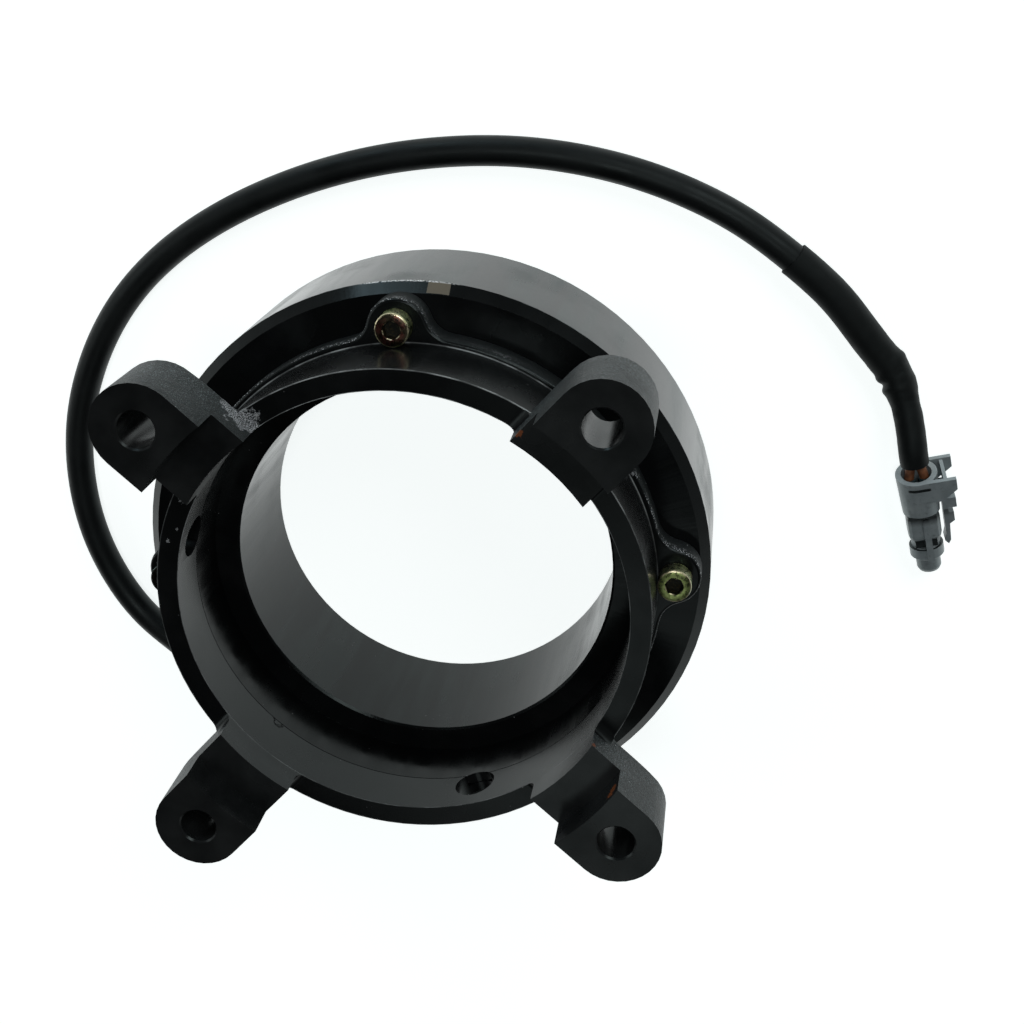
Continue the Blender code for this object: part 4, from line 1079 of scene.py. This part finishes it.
def screwProfile(radius, length):
    # from the axis at the head's top, down its side to the tip
    edge, foot, rows = capScrew["edge"], capScrew["foot"], capScrew["knurlRows"]
    head, shank, pitch = capScrew["headHeight"], capScrew["shank"], capScrew["threadPitch"]
    points = [(0.0, 0.0), (radius - edge, 0.0), (radius - edge * 0.25, -edge * 0.35),
              (radius, -edge)]
    for row in range(1, rows):
        points.append((radius, -edge - (head - edge - foot) * row / rows))
    points += [(radius, -head + foot), (radius - foot * 0.5, -head), (shank, -head)]
    for turn in range(int((length - head - 0.003) / pitch)):
        height = -head - 0.002 - turn * pitch
        points += [(shank, height), (shank - capScrew["threadDepth"], height - pitch / 2)]
    points += [(shank - 0.0006, -length), (0.0, -length)]
    return points


def knurl(work, radius):
    teeth, head = capScrew["teeth"], capScrew["headHeight"]
    low, high = -head + capScrew["foot"] * 1.05, -capScrew["edge"] * 1.05
    for vertex in work.verts:
        if abs(fromAxis(vertex.co) - radius) > 1e-5 or not low < vertex.co.z < high:
            continue
        around = math.atan2(vertex.co.y, vertex.co.x) * teeth
        lean = vertex.co.z / radius * teeth * 0.5
        rise = (0.5 + 0.5 * math.cos(around + lean)) * (0.5 + 0.5 * math.cos(around - lean))
        shrink = 1 - capScrew["knurlDepth"] / radius * (1 - math.sqrt(rise))
        vertex.co.x *= shrink
        vertex.co.y *= shrink


def makeScrews(plating, grime):
    low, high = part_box("cap_screw_1")
    radius = (high.y - low.y) / 2
    circle = (low.x + high.x) / 2
    steps = capScrew["teeth"] * capScrew["stepsPerTooth"]
    work = spunShape(screwProfile(radius, high.z - low.z), steps, closed=False)
    knurl(work, radius)
    master = linkPiece("screwMaster", meshFrom(work, "screwMaster"), plating, grime)
    across = capScrew["socketFlats"] / math.sqrt(3.0)
    depth = capScrew["socketDepth"]
    hexagon = rodMesh(across, -depth, depth, Matrix(), 6)
    mouth = rodMesh(across - 0.00035, -0.00022, 0.00022, Matrix(), 48, across + 0.00010)
    drill(master, [hexagon, mouth])
    faceMask = master.data.attributes.new("headFace", "FLOAT", "FACE")
    rimMask = master.data.attributes.new("headRim", "FLOAT", "FACE")
    for face in master.data.polygons:
        out, height = math.hypot(face.center.x, face.center.y), face.center.z
        inside = out < across * 1.02 and height < -0.0003
        face.material_index = 1 if inside and height > -depth - 0.0001 else 0
        faceMask.data[face.index].value = 1.0 if height > -0.00005 else 0.0
        onRim = -capScrew["edge"] < height < -0.00005 and not inside
        rimMask.data[face.index].value = 1.0 if onRim else 0.0
    for index in range(4):
        mesh = master.data.copy()
        place = (Matrix.Rotation(index * math.pi / 2, 4, "Z")
                 @ Matrix.Translation((circle, 0.0, high.z))
                 @ Matrix.Rotation(math.radians(capScrew["turns"][index]), 4, "Z"))
        mesh.transform(place)
        screw = linked(f"capScrew{index + 1}", mesh)
        smoothShading(screw, 28.0)
        placePiece(screw, "yellow_zinc", f"cap_screw_{index + 1}")
    bpy.data.objects.remove(master, do_unlink=True)
    print("screws")


# the coil, seen only at the pole face

potting = {
    "inner": 0.0663,
    "sag": 0.00035,
    "steps": 160,
    "ripple": 0.00008,
    "rippleWaves": 160.0,
}


def makePotting(material):
    low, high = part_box("potting_ring")
    outer, inner = high.x, potting["inner"]
    profile = [(outer, high.z), (outer, low.z)]
    for step in range(1, 9):
        share = step / 9
        dip = potting["sag"] * math.sin(math.pi * share)
        profile.append((outer + (inner - outer) * share, low.z + dip))
    profile += [(inner, low.z), (inner, high.z)]
    work = spunShape(profile, potting["steps"])
    for vertex in work.verts:
        inSlot = inner + 0.0005 < fromAxis(vertex.co) < outer - 0.0005
        if inSlot and vertex.co.z < high.z - 0.001:
            vertex.co.z += potting["ripple"] * noise.noise(vertex.co * potting["rippleWaves"])
    piece = linkPiece("pottingRing", meshFrom(work, "pottingRing"), material)
    smoothShading(piece)
    return placePiece(piece, "potting_resin", "potting_ring")


def dressInside():
    # the solids that keep their own form get their finish here
    copper = (0.55, 0.20, 0.08)
    finishes = [
        (plainStuff("naturalNylon", (0.62, 0.58, 0.48), 0.45), "coil_bobbin"),
        (windingStuff("enamelledCopper", copper, 0.28, 1.0, 0.0007, 0.00012), "coil_winding"),
        (windingStuff("clothTape", (0.30, 0.26, 0.18), 0.80, 0.0, 0.0060, 0.00008), "winding_tape"),
        (plainStuff("crimpSleeve", (0.60, 0.10, 0.06), 0.45), "splice_sleeve_1", "splice_sleeve_2"),
        (plainStuff("sealRubber", (0.030, 0.055, 0.062), 0.55), "wire_seal_1", "wire_seal_2"),
        (plainStuff("tinnedBrass", (0.70, 0.68, 0.62), 0.30, 1.0), "terminal_1", "terminal_2"),
        (plainStuff("leadWire", copper, 0.30, 1.0), "coil_lead_1", "coil_lead_2"),
    ]
    for finish, *wearers in finishes:
        for node in wearers:
            nodes[node].data.materials.clear()
            nodes[node].data.materials.append(finish)
    print("inner pieces dressed")


# floor and light

studio = {
    "floorSize": 8.0,
    "floorWhite": 0.45,
    "floorGlow": 0.88,
    "floorTint": (0.955, 1.0, 0.995),
    "zenith": 0.018,
    "middle": 0.050,
    "horizon": 0.55,
    "middleAt": 0.42,
    "zenithFrom": 0.80,
}
lamps = {
    # place, aim, size across, watts, colour
    "overhead": ((0.10, 0.30, 1.60), (0.0, 0.0, 0.0), 0.35, 3.6, (1.0, 1.0, 1.0)),
    "key": ((0.75, 1.10, 1.15), (0.0, 0.0, 0.03), 0.80, 6.5, (1.0, 1.0, 1.0)),
    "fill": ((-1.30, 0.35, 0.90), (0.0, 0.0, 0.05), 0.90, 3.0, (1.0, 1.0, 1.0)),
    "back": ((-0.065, -0.750, 1.300), (0.03, 0.0, 0.05), 0.50, 0.5, (1.0, 1.0, 1.0)),
    "window": ((-0.38, 1.30, 0.33), (0.0, 0.085, 0.043), 0.45, 2.4, (0.72, 0.88, 1.0)),
}


def makeFloor():
    bpy.ops.mesh.primitive_plane_add(size=studio["floorSize"])
    ground = bpy.context.object
    ground.name = "floor"
    white = studio["floorWhite"]
    look = Finish("floorPaper", (white,) * 3, 0.9)
    patches = look.cloud(3.0, 2.0, 0.3, 0.7)
    look.shade("Base Color", look.mix(patches, (white,) * 3, (white + 0.01,) * 3))
    look.shade("Specular IOR Level", 0.0)
    look.shade("Emission Color", studio["floorTint"])
    look.shade("Emission Strength", studio["floorGlow"])
    ground.data.materials.append(look.material)


def makeWorld():
    world = bpy.data.worlds.new("studio")
    scene.world = world
    world.use_nodes = True
    tree = world.node_tree
    where = tree.nodes.new("ShaderNodeTexCoord")
    split = tree.nodes.new("ShaderNodeSeparateXYZ")
    ramp = tree.nodes.new("ShaderNodeValToRGB")
    tree.links.new(where.outputs["Generated"], split.inputs[0])
    tree.links.new(split.outputs[2], ramp.inputs[0])
    stops = ramp.color_ramp.elements
    stops[1].position = studio["zenithFrom"]
    stops.new(studio["middleAt"])
    for stop, tone in zip(stops, ("horizon", "middle", "zenith")):
        stop.color = (studio[tone],) * 3 + (1.0,)
    tree.links.new(ramp.outputs[0], tree.nodes["Background"].inputs["Color"])


def makeLamps():
    for name, (place, aim, size, watts, colour) in lamps.items():
        lamp = linked(name, bpy.data.lights.new(name, "AREA"))
        lamp.data.shape = "DISK"
        lamp.data.size = size
        lamp.data.energy = watts
        lamp.data.color = colour
        lamp.location = place
        lamp.rotation_euler = (Vector(aim) - Vector(place)).to_track_quat("-Z", "Y").to_euler()


makeCamera()
ringFinish, bracketFinish = makePaints()
makeLead()
makeHousing(ringFinish)
makeBracket(bracketFinish)
makeScrews(yellowZinc(), socketDarkBrown())
makePotting(plainStuff("pottingResin", (0.020, 0.020, 0.020), 0.38, scale=120.0))
dressInside()
makeFloor()
makeWorld()
makeLamps()
scene.view_settings.view_transform = "Standard"
print("floor and light")
